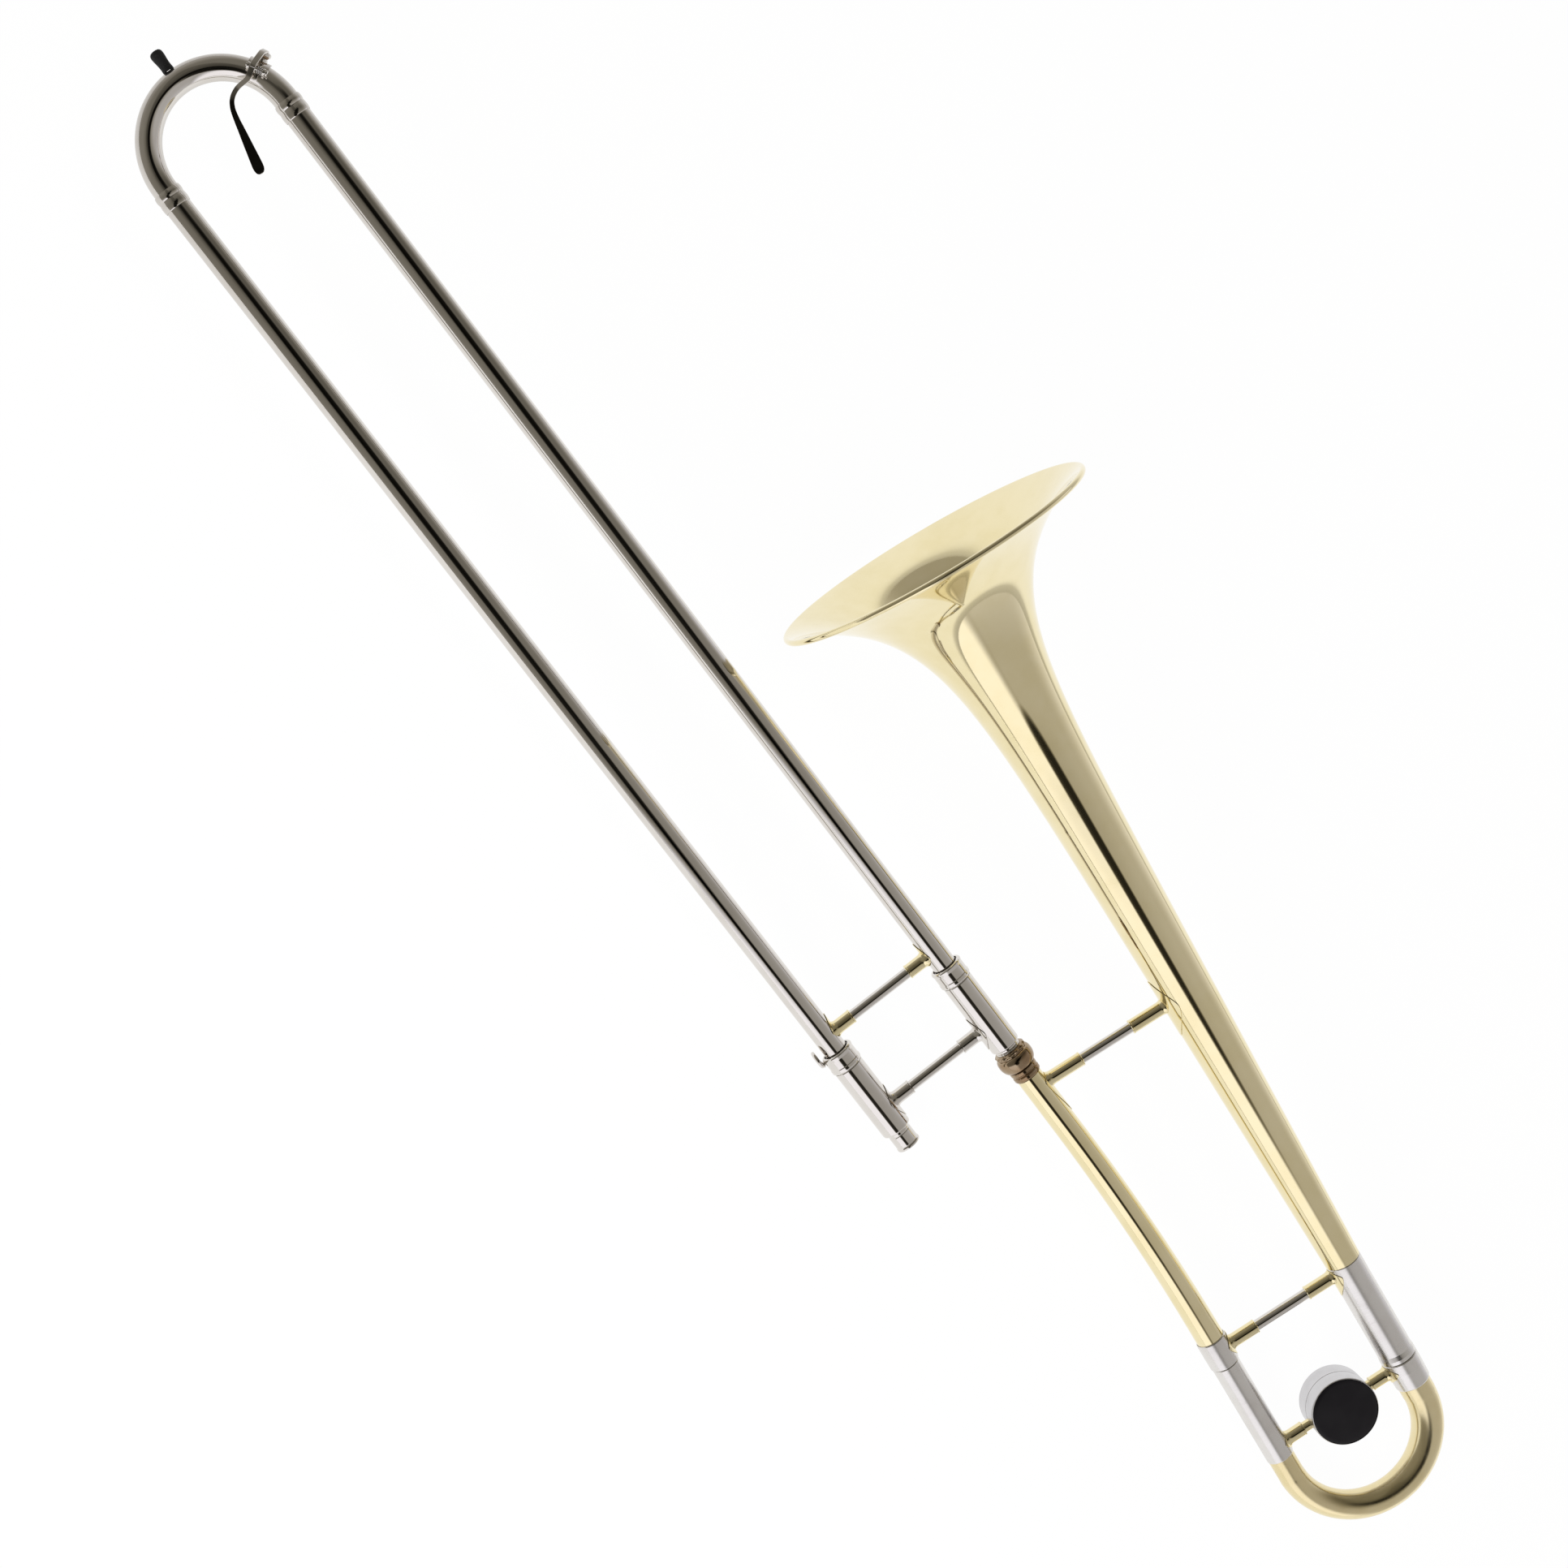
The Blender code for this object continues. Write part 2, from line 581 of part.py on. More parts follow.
def key_saddle():
    """A plate bent over the tube, with two ears that carry the hinge pin."""
    outer = CROOK_OD / 2 + SEAT_GAP + SADDLE_THICKNESS
    inner = outer - SADDLE_THICKNESS * 2
    first, last = math.radians(62), math.radians(176)
    steps = 9
    sections = []
    for i in range(steps + 1):
        angle = first + (last - first) * i / steps
        radial = Vector((0, math.cos(angle), math.sin(angle)))
        half_width = SADDLE_WIDTH / 2 * (1 if i < steps * 0.55 else 0.36)
        centre = radial * ((inner + outer) / 2)
        sections.append((centre, Vector((half_width, 0, 0)), radial * ((outer - inner) / 2)))
    plate = bar(sections)
    for side in (-1, 1):
        x = side * EAR_SPACING / 2
        low = outer - 0.0006
        high = PIVOT_HEIGHT + HINGE_RADIUS
        ear = bar([
            (Vector((x, PIVOT_OUTWARD * 0.6, low - 0.0006)), Vector((0, 0.0032, 0)), Vector((EAR_THICKNESS / 2, 0, 0))),
            (Vector((x, PIVOT_OUTWARD, PIVOT_HEIGHT)), Vector((0, 0.0022, 0)), Vector((EAR_THICKNESS / 2, 0, 0))),
            (Vector((x, PIVOT_OUTWARD, high)), Vector((0, 0.0012, 0)), Vector((EAR_THICKNESS / 2, 0, 0))),
        ])
        plate = combined(plate, ear, "UNION")
    plate = combined(plate, crook_cutter(SEAT_GAP), "DIFFERENCE")
    hole = moved(rod(PIN_RADIUS + RUN_GAP, -0.01, 0.01, 12), (0, PIVOT_OUTWARD, PIVOT_HEIGHT), ALONG_X)
    return combined(plate, hole, "DIFFERENCE")


def key_spring():
    """The coil round the pin, one wire whose last leg lies towards the saddle."""
    start = 0.0003
    count = SPRING_TURNS * SPRING_POINTS_A_TURN
    points = []
    for i in range(count + 1):
        angle = 2 * math.pi * i / SPRING_POINTS_A_TURN + math.pi
        points.append(Vector((
            start + SPRING_PITCH * i / SPRING_POINTS_A_TURN,
            SPRING_COIL_RADIUS * math.cos(angle),
            SPRING_COIL_RADIUS * math.sin(angle),
        )))
    leg = points[-1] + Vector((0.0001, -0.0004, -0.0024))
    points.append(leg)
    print("water key spring, least gap in mm:", round(spring_gap(points) * 1000, 2))
    return wire(points, SPRING_WIRE_RADIUS)


def spring_gap(points):
    """The least distance between the surfaces of turns that lie next to each other."""
    far = SPRING_POINTS_A_TURN // 2
    gaps = [
        (a - b).length
        for i, a in enumerate(points)
        for b in points[i + far:]
    ]
    return min(gaps) - 2 * SPRING_WIRE_RADIUS


def key_lever(cup_floor):
    """Cup, arm, hinge barrel and thumb piece in one, in the saddle's frame."""
    cup_radius = CORK_RADIUS + SOLDER_GAP + CUP_WALL
    cup_top = cup_floor + CUP_WALL
    cup = turned_solid([
        (0, cup_top + 0.0006), (cup_radius * 0.5, cup_top + 0.0005), (cup_radius, cup_top),
        (cup_radius, cup_floor - CUP_DEPTH * 0.6), (cup_radius - CUP_WALL, cup_floor - CUP_DEPTH * 0.6),
        (cup_radius - CUP_WALL, cup_floor), (0, cup_floor)], 20)
    lever = moved(cup, turn=ALONG_Y)
    half = LEVER_THICKNESS / 2
    across = Vector((1, 0, 0))
    reach = cup_top + half * 0.8
    middle_x = HINGE_START + HINGE_LENGTH / 2
    outer_arm = [
        (Vector((0, reach, -0.0022)), across * 0.0016, Vector((0, half, 0))),
        (Vector((0, reach, 0.0030)), across * 0.0018, Vector((0, half, 0))),
        (Vector((middle_x * 0.4, reach - 0.0022, 0.0092)), across * 0.0017, Vector((0, half * 0.8, half * 0.6))),
        (Vector((middle_x, PIVOT_OUTWARD + 0.0022, PIVOT_HEIGHT + 0.0012)), across * 0.0016, Vector((0, half * 0.3, half))),
        (Vector((middle_x, PIVOT_OUTWARD, PIVOT_HEIGHT + HINGE_RADIUS - half)), across * 0.0016, Vector((0, 0, half))),
    ]
    lever = combined(lever, bar(outer_arm), "UNION")
    barrel = moved(
        rod(HINGE_RADIUS, HINGE_START, HINGE_START + HINGE_LENGTH),
        (0, PIVOT_OUTWARD, PIVOT_HEIGHT), ALONG_X,
    )
    lever = combined(lever, barrel, "UNION")
    lever = combined(lever, thumb_arm(middle_x, half), "UNION")
    hole = moved(rod(PIN_RADIUS + RUN_GAP, -0.01, 0.01, 12), (0, PIVOT_OUTWARD, PIVOT_HEIGHT), ALONG_X)
    return combined(lever, hole, "DIFFERENCE")


def thumb_arm(middle_x, half):
    """The arm from the hinge over the bend's inside and along the slide, widening to a thumb piece."""
    outward_dir = Vector((math.cos(KEY_ANGLE), math.sin(KEY_ANGLE), 0))
    along_dir = Vector((outward_dir.y, -outward_dir.x, 0))
    root = outward_dir * HALF

    def in_key_frame(x, y, z):
        offset = Vector((x, y, 0)) - root
        return Vector((offset.dot(along_dir), offset.dot(outward_dir), z))

    route = [(-0.0178, 0.0190, 0.0092, 0.0013), (-0.0140, 0.0154, 0.0088, 0.0015),
             (0.0000, 0.0116, 0.0074, 0.0021), (0.0150, 0.0073, 0.0060, 0.0029),
             (0.0210, 0.0055, 0.0054, 0.0031), (0.0238, 0.0047, 0.0052, 0.0017)]
    centres = [Vector((middle_x, PIVOT_OUTWARD, PIVOT_HEIGHT + HINGE_RADIUS - half)),
               Vector((middle_x, PIVOT_OUTWARD - 0.0070, PIVOT_HEIGHT + 0.0006))]
    widths = [0.0016, 0.0014]
    for x, y, z, width in route:
        centres.append(in_key_frame(x, y, z))
        widths.append(width)
    sections = []
    for i, (centre, width) in enumerate(zip(centres, widths)):
        before = centres[max(i - 1, 0)]
        after = centres[min(i + 1, len(centres) - 1)]
        direction = (after - before).normalized()
        side = direction.cross(Vector((0, 0, 1))).normalized()
        sections.append((centre, side * width, side.cross(direction) * half))
    return bar(sections)


def build_inner_slide(parent):
    """The two inner tubes, their barrels with felts, the grip brace, the receiver and the tenon."""
    ends = {"bell_side": BARREL_END_BELL_SIDE, "mouthpiece_side": BARREL_END_MOUTHPIECE_SIDE}
    bearing = INNER_TUBE_OD + 2 * SOLDER_GAP
    felt_start = OUTER_TUBE_END + SEAT_GAP
    chamber_end = felt_start + FELT_LENGTH + SEAT_GAP
    for side, y in (("bell_side", HALF), ("mouthpiece_side", -HALF)):
        place = (0, y, 0)
        end = ends[side]
        tube_end = end - 0.0008
        if side == "mouthpiece_side":
            tube_end = end - RECEIVER_SPIGOT - SEAT_GAP
        stocking_end = INNER_TIP + STOCKING_LENGTH
        tube = turned([
            (STOCKING_OD / 2, INNER_TIP), (STOCKING_OD / 2, stocking_end),
            (INNER_TUBE_OD / 2, stocking_end + 0.0006), (INNER_TUBE_OD / 2, tube_end),
            (BORE / 2, tube_end), (BORE / 2, INNER_TIP)])
        place_piece(tube, f"inner_tube_{side}", "nickel", parent, place, ALONG_X)
        spigot_start = BARREL_START - BARREL_SPIGOT_LENGTH
        barrel = turned([
            (BARREL_SPIGOT_OD / 2, spigot_start), (BARREL_SPIGOT_OD / 2, BARREL_START),
            (BARREL_OD / 2, BARREL_START), (BARREL_OD / 2, end - 0.0006), (BARREL_OD / 2 - 0.0006, end),
            (bearing / 2, end), (bearing / 2, chamber_end),
            (BARREL_CHAMBER_ID / 2, chamber_end), (BARREL_CHAMBER_ID / 2, spigot_start)])
        place_piece(barrel, f"cork_barrel_{side}", "nickel", parent, place, ALONG_X)
        felt = sleeve(
            felt_start, felt_start + FELT_LENGTH, BARREL_CHAMBER_ID - 2 * SOLDER_GAP, bearing
        )
        place_piece(felt, f"slide_felt_{side}", "felt", parent, place, ALONG_X)
    place_piece(barrel_ring(), "barrel_collar_bell_side", "nickel", parent, (0, HALF, 0), ALONG_X)
    brace(
        "inner_brace", parent, INNER_BRACE_X,
        ("mouthpiece_side", -HALF, flat_seat(BARREL_OD), INNER_FOOT, 0),
        ("bell_side", HALF, flat_seat(BARREL_OD), INNER_FOOT, 0),
        SLIDE_SOCKET_LENGTH, ("nickel", "nickel"),
    )
    build_mouthpiece_end(parent)
    build_tenon(parent)


def barrel_ring(hole=None):
    """The ring round the barrel's mouth, with its lip in front, about Z. It may take a knob."""
    end = BARREL_START - SEAT_GAP
    start = end - COLLAR_LENGTH
    inner = BARREL_SPIGOT_OD / 2 + RUN_GAP
    lip = BARREL_CHAMBER_ID / 2
    outer = COLLAR_OD / 2
    ring = turned([
        (outer - 0.0005, start), (outer, start + 0.0006), (outer, end - 0.0045),
        (outer - 0.0004, end - 0.0041), (outer - 0.0004, end - 0.0034), (outer, end - 0.0030),
        (outer, end), (inner, end), (inner, start + COLLAR_LIP), (lip, start + COLLAR_LIP), (lip, start)],
        RING_STEPS)
    return combined(ring, hole, "DIFFERENCE") if hole else ring


def build_lock_ring(parent):
    """The slide lock: a ring that turns on the mouthpiece-side barrel, with its knob."""
    knob_x = BARREL_START - SEAT_GAP - COLLAR_LENGTH + 0.0034
    stem = LOCK_KNOB_RADIUS * 0.45
    outer = COLLAR_OD / 2
    inner = BARREL_SPIGOT_OD / 2 + RUN_GAP
    hole = moved(rod(stem + SOLDER_GAP, inner + 0.0003, outer + 0.002, 12), (0, 0, knob_x), (math.pi / 2, 0, 0))
    place_piece(barrel_ring(hole), "slide_lock_ring", "nickel", parent, (0, 0, 0), ALONG_X)
    top = outer + LOCK_KNOB_HEIGHT
    knob = turned_solid([
        (0, top), (LOCK_KNOB_RADIUS * 0.6, top - 0.0003), (LOCK_KNOB_RADIUS, top - 0.0014),
        (LOCK_KNOB_RADIUS, top - 0.0026), (LOCK_KNOB_RADIUS * 0.62, outer + SEAT_GAP),
        (stem, outer + SEAT_GAP), (stem, inner + 0.0005), (0, inner + 0.0005)], 16)
    place_piece(knob, "slide_lock_knob", "nickel", parent, (knob_x, 0, 0), (math.pi / 2, 0, 0))


def build_mouthpiece_end(parent):
    """The socket for the mouthpiece shank, and the leadpipe behind it inside the inner tube."""
    barrel_end = BARREL_END_MOUTHPIECE_SIDE
    spigot_start = barrel_end - RECEIVER_SPIGOT
    mouth = barrel_end + RECEIVER_REACH
    face = barrel_end + SEAT_GAP
    receiver = turned([
        (INNER_TUBE_OD / 2, spigot_start), (INNER_TUBE_OD / 2, face), (RECEIVER_OD / 2, face),
        (RECEIVER_OD / 2, mouth - 0.0022), (RECEIVER_OD / 2 + 0.0004, mouth - 0.0018),
        (RECEIVER_OD / 2 + 0.0004, mouth), (SHANK_MOUTH / 2, mouth), (SHANK_THROAT / 2, spigot_start)])
    place = (0, -HALF, 0)
    place_piece(receiver, "mouthpiece_receiver", "nickel", parent, place, ALONG_X)
    pipe_end = spigot_start - SEAT_GAP
    leadpipe = sleeve(pipe_end - LEADPIPE_LENGTH, pipe_end, LEADPIPE_OD, LEADPIPE_ID)
    place_piece(leadpipe, "leadpipe", "lacquered_brass", parent, place, ALONG_X)


def build_tenon(parent):
    """The slide's tenon: a thread for the nut, then a tapered nose that enters the neck."""
    start = BARREL_END_BELL_SIDE + SEAT_GAP
    thread_end = start + TENON_THREAD_LENGTH
    nose_end = thread_end + TENON_NOSE_LENGTH
    thread = TENON_THREAD_OD / 2
    grooves = 2
    pitch = TENON_THREAD_LENGTH / (grooves + 1)
    outline = [(thread, start)]
    for i in range(1, grooves + 1):
        at = start + pitch * i
        outline += [(thread, at - 0.0006), (thread - 0.0004, at), (thread, at + 0.0006)]
    outline += [(thread, thread_end), (TENON_NOSE_OD / 2, thread_end),
                (TENON_NOSE_OD / 2 - TENON_NOSE_TAPER / 2, nose_end), (BORE / 2, nose_end), (BORE / 2, start)]
    place_piece(turned(outline), "slide_tenon", "nickel", parent, (0, HALF, 0), ALONG_X)


def joint_stations():
    """Where the bell joint's faces lie along the slide: nut, flange, collar and the neck's start."""
    tenon_start = BARREL_END_BELL_SIDE + SEAT_GAP
    flange = tenon_start + TENON_THREAD_LENGTH + SEAT_GAP
    collar = flange + NECK_FLANGE_LENGTH + NUT_LIP + 3 * SEAT_GAP
    neck = collar + NECK_COLLAR_LENGTH
    return tenon_start, flange, collar, neck


def build_lock_nut(parent):
    """The ribbed nut that turns on the tenon's thread and draws the neck's flange on to it."""
    tenon_start, flange, collar, _ = joint_stations()
    end = collar - SEAT_GAP
    start = end - NUT_LENGTH
    flange_end = flange + NECK_FLANGE_LENGTH
    outer = NUT_OD / 2
    thread = TENON_THREAD_OD / 2 + RUN_GAP
    pocket = NECK_FLANGE_OD / 2 + SEAT_GAP
    body = NECK_COLLAR_OD / 2 - NECK_COLLAR_STEP + SEAT_GAP
    ribbed = start + NUT_LENGTH * 0.55
    nut = turned([
        (outer - 0.0014, start), (outer, start + 0.0012), (outer, ribbed), (outer - 0.0008, ribbed + 0.0006),
        (outer - 0.0010, end - 0.0016), (outer - 0.0020, end),
        (body, end), (body, flange_end + SEAT_GAP), (pocket, flange_end + SEAT_GAP),
        (pocket, flange - SEAT_GAP), (thread, flange - SEAT_GAP), (thread, start)],
        NUT_SCALLOPS * 4)
    for vert in nut.data.vertices:
        radius = math.hypot(vert.co.x, vert.co.y)
        column = round(math.atan2(vert.co.y, vert.co.x) / (2 * math.pi) * NUT_SCALLOPS * 4)
        if column % 4 == 0 and radius > outer - 0.0001:
            share = (radius - NUT_SCALLOP_DEPTH) / radius
            vert.co.x *= share
            vert.co.y *= share
    place_piece(nut, "bell_lock_nut", "dark_bronze", parent, (0, 0, 0), ALONG_X)


def build_neck(parent, bell_frame):
    """The neck's socket on the tenon, and the tapering gooseneck that bends to the tuning leg."""
    _, flange, collar, neck = joint_stations()
    flange_end = flange + NECK_FLANGE_LENGTH
    socket = TENON_NOSE_OD / 2 + RUN_GAP
    nose_end = flange - SEAT_GAP + TENON_NOSE_LENGTH
    spigot = NECK_START_OD / 2 - NECK_WALL - SOLDER_GAP
    body = NECK_COLLAR_OD / 2 - NECK_COLLAR_STEP
    receiver = turned([
        (NECK_FLANGE_OD / 2, flange), (NECK_FLANGE_OD / 2, flange_end), (body, flange_end),
        (body, collar), (NECK_COLLAR_OD / 2, collar + 0.0004), (NECK_COLLAR_OD / 2, neck - 0.0004),
        (body, neck), (spigot, neck), (spigot, neck + NECK_SPIGOT_LENGTH),
        (BORE / 2, neck + NECK_SPIGOT_LENGTH), (BORE / 2, nose_end + SEAT_GAP),
        (socket - TENON_NOSE_TAPER / 2, nose_end + SEAT_GAP), (socket, flange)])
    place_piece(receiver, "neck_receiver", "dark_bronze", parent, (0, 0, 0), ALONG_X)
    points = neck_route(neck + SEAT_GAP)
    radii = []
    for point in points:
        share = (point.x - points[0].x) / (points[-1].x - points[0].x)
        radii.append((NECK_START_OD + (NECK_END_OD - NECK_START_OD) * share) / 2)
    place_piece(pipe(points, radii, NECK_WALL), "gooseneck", "lacquered_brass", bell_frame)


def rim_distance():
    """How far the rim's centre lies from the neck-side slide tube, so that the neck meets both."""
    reach = joint_stations()[3] + SEAT_GAP - RIM_POSITION
    cos, sin = math.cos(BELL_ANGLE), math.sin(BELL_ANGLE)
    bend_end = NECK_END - NECK_LAST_STRAIGHT
    bend = bend_end - (reach + NECK_FIRST_STRAIGHT) * cos
    return (reach + NECK_FIRST_STRAIGHT) * sin + LEG_SPACING + math.tan(BELL_ANGLE / 2) * bend


def bell_point(along_slide):
    """A point on the neck-side slide tube's line, in the bell frame."""
    x = along_slide - RIM_POSITION
    y = -rim_distance()
    cos, sin = math.cos(BELL_ANGLE), math.sin(BELL_ANGLE)
    return Vector((x * cos - y * sin, x * sin + y * cos, 0))


def neck_route(start_along):
    """The neck's centreline in the bell frame: straight, one long bend, then straight down the leg."""
    start = bell_point(start_along)
    sin, cos = math.sin(BELL_ANGLE), math.cos(BELL_ANGLE)
    bend_start = start + Vector((cos, sin, 0)) * NECK_FIRST_STRAIGHT
    bend_end = NECK_END - NECK_LAST_STRAIGHT
    radius = (bend_end - bend_start.x) / sin
    centre = (bend_end, -LEG_SPACING - radius)
    points = [start]
    points += arc(centre, radius, math.pi / 2 + BELL_ANGLE, math.pi / 2, 5)
    points.append(Vector((NECK_END, -LEG_SPACING, 0)))
    return points


def neck_height(along):
    """How far the neck's centreline lies from the bell's axis, at a place along the bell."""
    points = neck_route(joint_stations()[3] + SEAT_GAP)
    for a, b in zip(points, points[1:]):
        if along <= b.x:
            share = (along - a.x) / (b.x - a.x)
            return a.y + (b.y - a.y) * share
    return points[-1].y


def bell_radius(along):
    """The outside radius of the bell, at a distance along its axis from the rim's edge."""
    flare = math.exp(-((max(along, 0.0) / FLARE_REACH) ** FLARE_POWER))
    return BELL_TAIL_OD / 2 + BELL_TAPER * (BELL_LENGTH - along) + flare_height() * flare


def flare_height():
    """How much wider the flare makes the bell at the edge, so that the rolled rim comes out at size."""
    edge = BELL_DIAMETER / 2 - BELL_WALL / 2 - RIM_CURL * (1 + math.sin(math.radians(22)))
    return edge - BELL_TAIL_OD / 2 - BELL_TAPER * BELL_LENGTH


def build_bell(parent):
    """The bell's skin with its rolled rim, the wire in the rim, and the sleeve on its tail."""
    stations = 12
    alongs = [BELL_LENGTH * (i / stations) ** 2.6 for i in range(stations, -1, -1)]
    profile = [(bell_radius(along) - BELL_WALL / 2, along) for along in alongs]
    lean = math.radians(22)
    outward_r, outward_a = math.sin(lean), math.cos(lean)
    edge_r, edge_a = profile[-1]
    centre_r = edge_r + RIM_CURL * outward_r
    centre_a = edge_a + RIM_CURL * outward_a
    curl_steps = 6
    for i in range(1, curl_steps + 1):
        angle = math.radians(300) * i / curl_steps
        radial = -math.cos(angle) * outward_r + math.sin(angle) * outward_a
        along = -math.cos(angle) * outward_a - math.sin(angle) * outward_r
        profile.append((centre_r + RIM_CURL * radial, centre_a + RIM_CURL * along))
    mesh = bpy.data.meshes.new("outline")
    edges = [(i, i + 1) for i in range(len(profile) - 1)]
    mesh.from_pydata([(radius, 0, along) for radius, along in profile], edges, [])
    skin = screwed(mesh, BELL_STEPS)
    thick = skin.modifiers.new("wall", "SOLIDIFY")
    thick.thickness = BELL_WALL
    thick.offset = 0
    thick.use_even_offset = True
    skin = outward(baked(skin))
    place_piece(skin, "bell", "lacquered_brass", parent, (0, 0, 0), ALONG_X)
    wire_ring = turned(
        [(centre_r + RIM_WIRE * math.cos(a), centre_a + RIM_WIRE * math.sin(a))
         for a in (math.pi / 3 * i for i in range(6))],
        BELL_STEPS)
    place_piece(wire_ring, "bell_rim_wire", "lacquered_brass", parent, (0, 0, 0), ALONG_X)
    spigot = BELL_TAIL_OD / 2 - BELL_WALL - SOLDER_GAP
    running = BELL_SLEEVE_ID / 2
    outer = BELL_SLEEVE_OD / 2
    ring = outer + SLEEVE_RING
    shoulder = BELL_LENGTH + SEAT_GAP
    tail_sleeve = turned([
        (outer, shoulder), (outer, BELL_SLEEVE_END - 0.004), (ring, BELL_SLEEVE_END - 0.0034),
        (ring, BELL_SLEEVE_END), (running, BELL_SLEEVE_END), (running, shoulder + SLEEVE_WALL),
        (spigot - LEG_WALL, shoulder + SLEEVE_WALL), (spigot - LEG_WALL, BELL_LENGTH - BELL_SLEEVE_SPIGOT),
        (spigot, BELL_LENGTH - BELL_SLEEVE_SPIGOT), (spigot, shoulder)])
    place_piece(tail_sleeve, "bell_tuning_sleeve", "satin_nickel", parent, (0, 0, 0), ALONG_X)


def neck_ferrule_od():
    return NECK_END_OD + 2 * (SOLDER_GAP + FERRULE_WALL * 1.4)


def build_neck_leg(parent):
    """The ferrule at the neck's end and the leg that the tuning slide's sleeve runs on."""
    place = (0, -LEG_SPACING, 0)
    outer = neck_ferrule_od() / 2
    inner = NECK_END_OD / 2 + SOLDER_GAP
    leg_clearance = NECK_LEG_OD / 2 + SOLDER_GAP
    start = NECK_END - NECK_FERRULE_OVERLAP
    shoulder = NECK_END + SEAT_GAP
    ferrule = turned([
        (outer, start), (outer, NECK_FERRULE_END), (leg_clearance, NECK_FERRULE_END),
        (leg_clearance, shoulder), (inner, shoulder), (inner, start)])
    place_piece(ferrule, "neck_ferrule", "satin_nickel", parent, place, ALONG_X)
    spigot = NECK_END_OD / 2 - NECK_WALL - 2 * SOLDER_GAP
    bore = NECK_LEG_OD / 2 - LEG_WALL
    leg = turned([
        (spigot, NECK_END - NECK_LEG_SPIGOT), (spigot, shoulder), (NECK_LEG_OD / 2, shoulder),
        (NECK_LEG_OD / 2, NECK_LEG_END), (bore, NECK_LEG_END), (bore, shoulder + LEG_WALL),
        (spigot - LEG_WALL, shoulder), (spigot - LEG_WALL, NECK_END - NECK_LEG_SPIGOT)])
    place_piece(leg, "neck_tuning_leg", "nickel", parent, place, ALONG_X)


def build_bell_braces(parent):
    """The two braces between the neck and the bell."""
    route = neck_route(joint_stations()[3] + SEAT_GAP)
    taper = (NECK_END_OD - NECK_START_OD) / 2 / (route[-1].x - route[0].x)
    radius_here = NECK_START_OD / 2 + taper * (UPPER_BRACE_X - route[0].x)
    brace(
        "upper_brace", parent, UPPER_BRACE_X,
        ("neck_side", neck_height(UPPER_BRACE_X), lambda along: radius_here + taper * along,
         UPPER_NECK_FOOT, BELL_ANGLE),
        ("bell_side", 0.0, lambda along: bell_radius(UPPER_BRACE_X + along), UPPER_BELL_FOOT, 0),
        UPPER_SOCKET_LENGTH, ("lacquered_brass", "nickel"),
    )
    brace(
        "lower_brace", parent, LOWER_BRACE_X,
        ("neck_side", -LEG_SPACING, flat_seat(neck_ferrule_od()), LOWER_NECK_FOOT, 0),
        ("bell_side", 0.0, flat_seat(BELL_SLEEVE_OD), LOWER_BELL_FOOT, 0),
        LOWER_SOCKET_LENGTH, ("lacquered_brass", "nickel"),
    )


def build_tuning_slide(parent):
    """The brass bow, its sleeve on the neck side, its leg on the bell side, and its brace."""
    neck_side = (0, -LEG_SPACING, 0)
    neck_sleeve = sleeve(
        NECK_FERRULE_END + SEAT_GAP, NECK_SLEEVE_END, NECK_SLEEVE_OD, NECK_SLEEVE_ID
    )
    place_piece(neck_sleeve, "tuning_sleeve_neck_side", "satin_nickel", parent, neck_side, ALONG_X)
    radius = LEG_SPACING / 2
    centre = (BOW_CENTRE, -radius)
    points = [Vector((BOW_START, -LEG_SPACING, 0))]
    points += arc(centre, radius, -math.pi / 2, math.pi / 2, BEND_STEPS)
    points += [Vector((BOW_START, 0, 0))]
    bow_radii = []
    for i in range(len(points)):
        share = i / (len(points) - 1)
        bow_radii.append((BOW_NECK_OD + (BOW_BELL_OD - BOW_NECK_OD) * share) / 2)
    bow_radii[0] = bow_radii[1] = BOW_NECK_OD / 2
    bow_radii[-1] = bow_radii[-2] = BOW_BELL_OD / 2
    place_piece(pipe(points, bow_radii, BOW_WALL), "tuning_bow", "lacquered_brass", parent)
    outer = BELL_SLEEVE_OD / 2
    ring = outer + SLEEVE_RING
    leg = BELL_LEG_OD / 2 + SOLDER_GAP
    bow = BOW_BELL_OD / 2 + SOLDER_GAP
    ferrule_start = BELL_SLEEVE_END + SEAT_GAP
    shoulder = BELL_LEG_END + SEAT_GAP
    ferrule = turned([
        (ring, ferrule_start), (ring, shoulder), (outer, BOW_FERRULE_END), (bow, BOW_FERRULE_END),
        (bow, shoulder), (leg, shoulder), (leg, ferrule_start)])
    place_piece(ferrule, "tuning_ferrule_bell_side", "satin_nickel", parent, (0, 0, 0), ALONG_X)
    bell_leg = sleeve(BELL_LEG_START, BELL_LEG_END, BELL_LEG_OD, BELL_LEG_OD - 2 * LEG_WALL)
    place_piece(bell_leg, "tuning_leg_bell_side", "nickel", parent, (0, 0, 0), ALONG_X)
    brace(
        "tuning_brace", parent, TUNING_BRACE_X,
        ("neck_side", -LEG_SPACING, flat_seat(NECK_SLEEVE_OD), TUNING_FOOT, 0),
        ("bell_side", 0.0, flat_seat(2 * ring), TUNING_FOOT, 0),
        TUNING_SOCKET_LENGTH, ("lacquered_brass", "lacquered_brass"),
    )


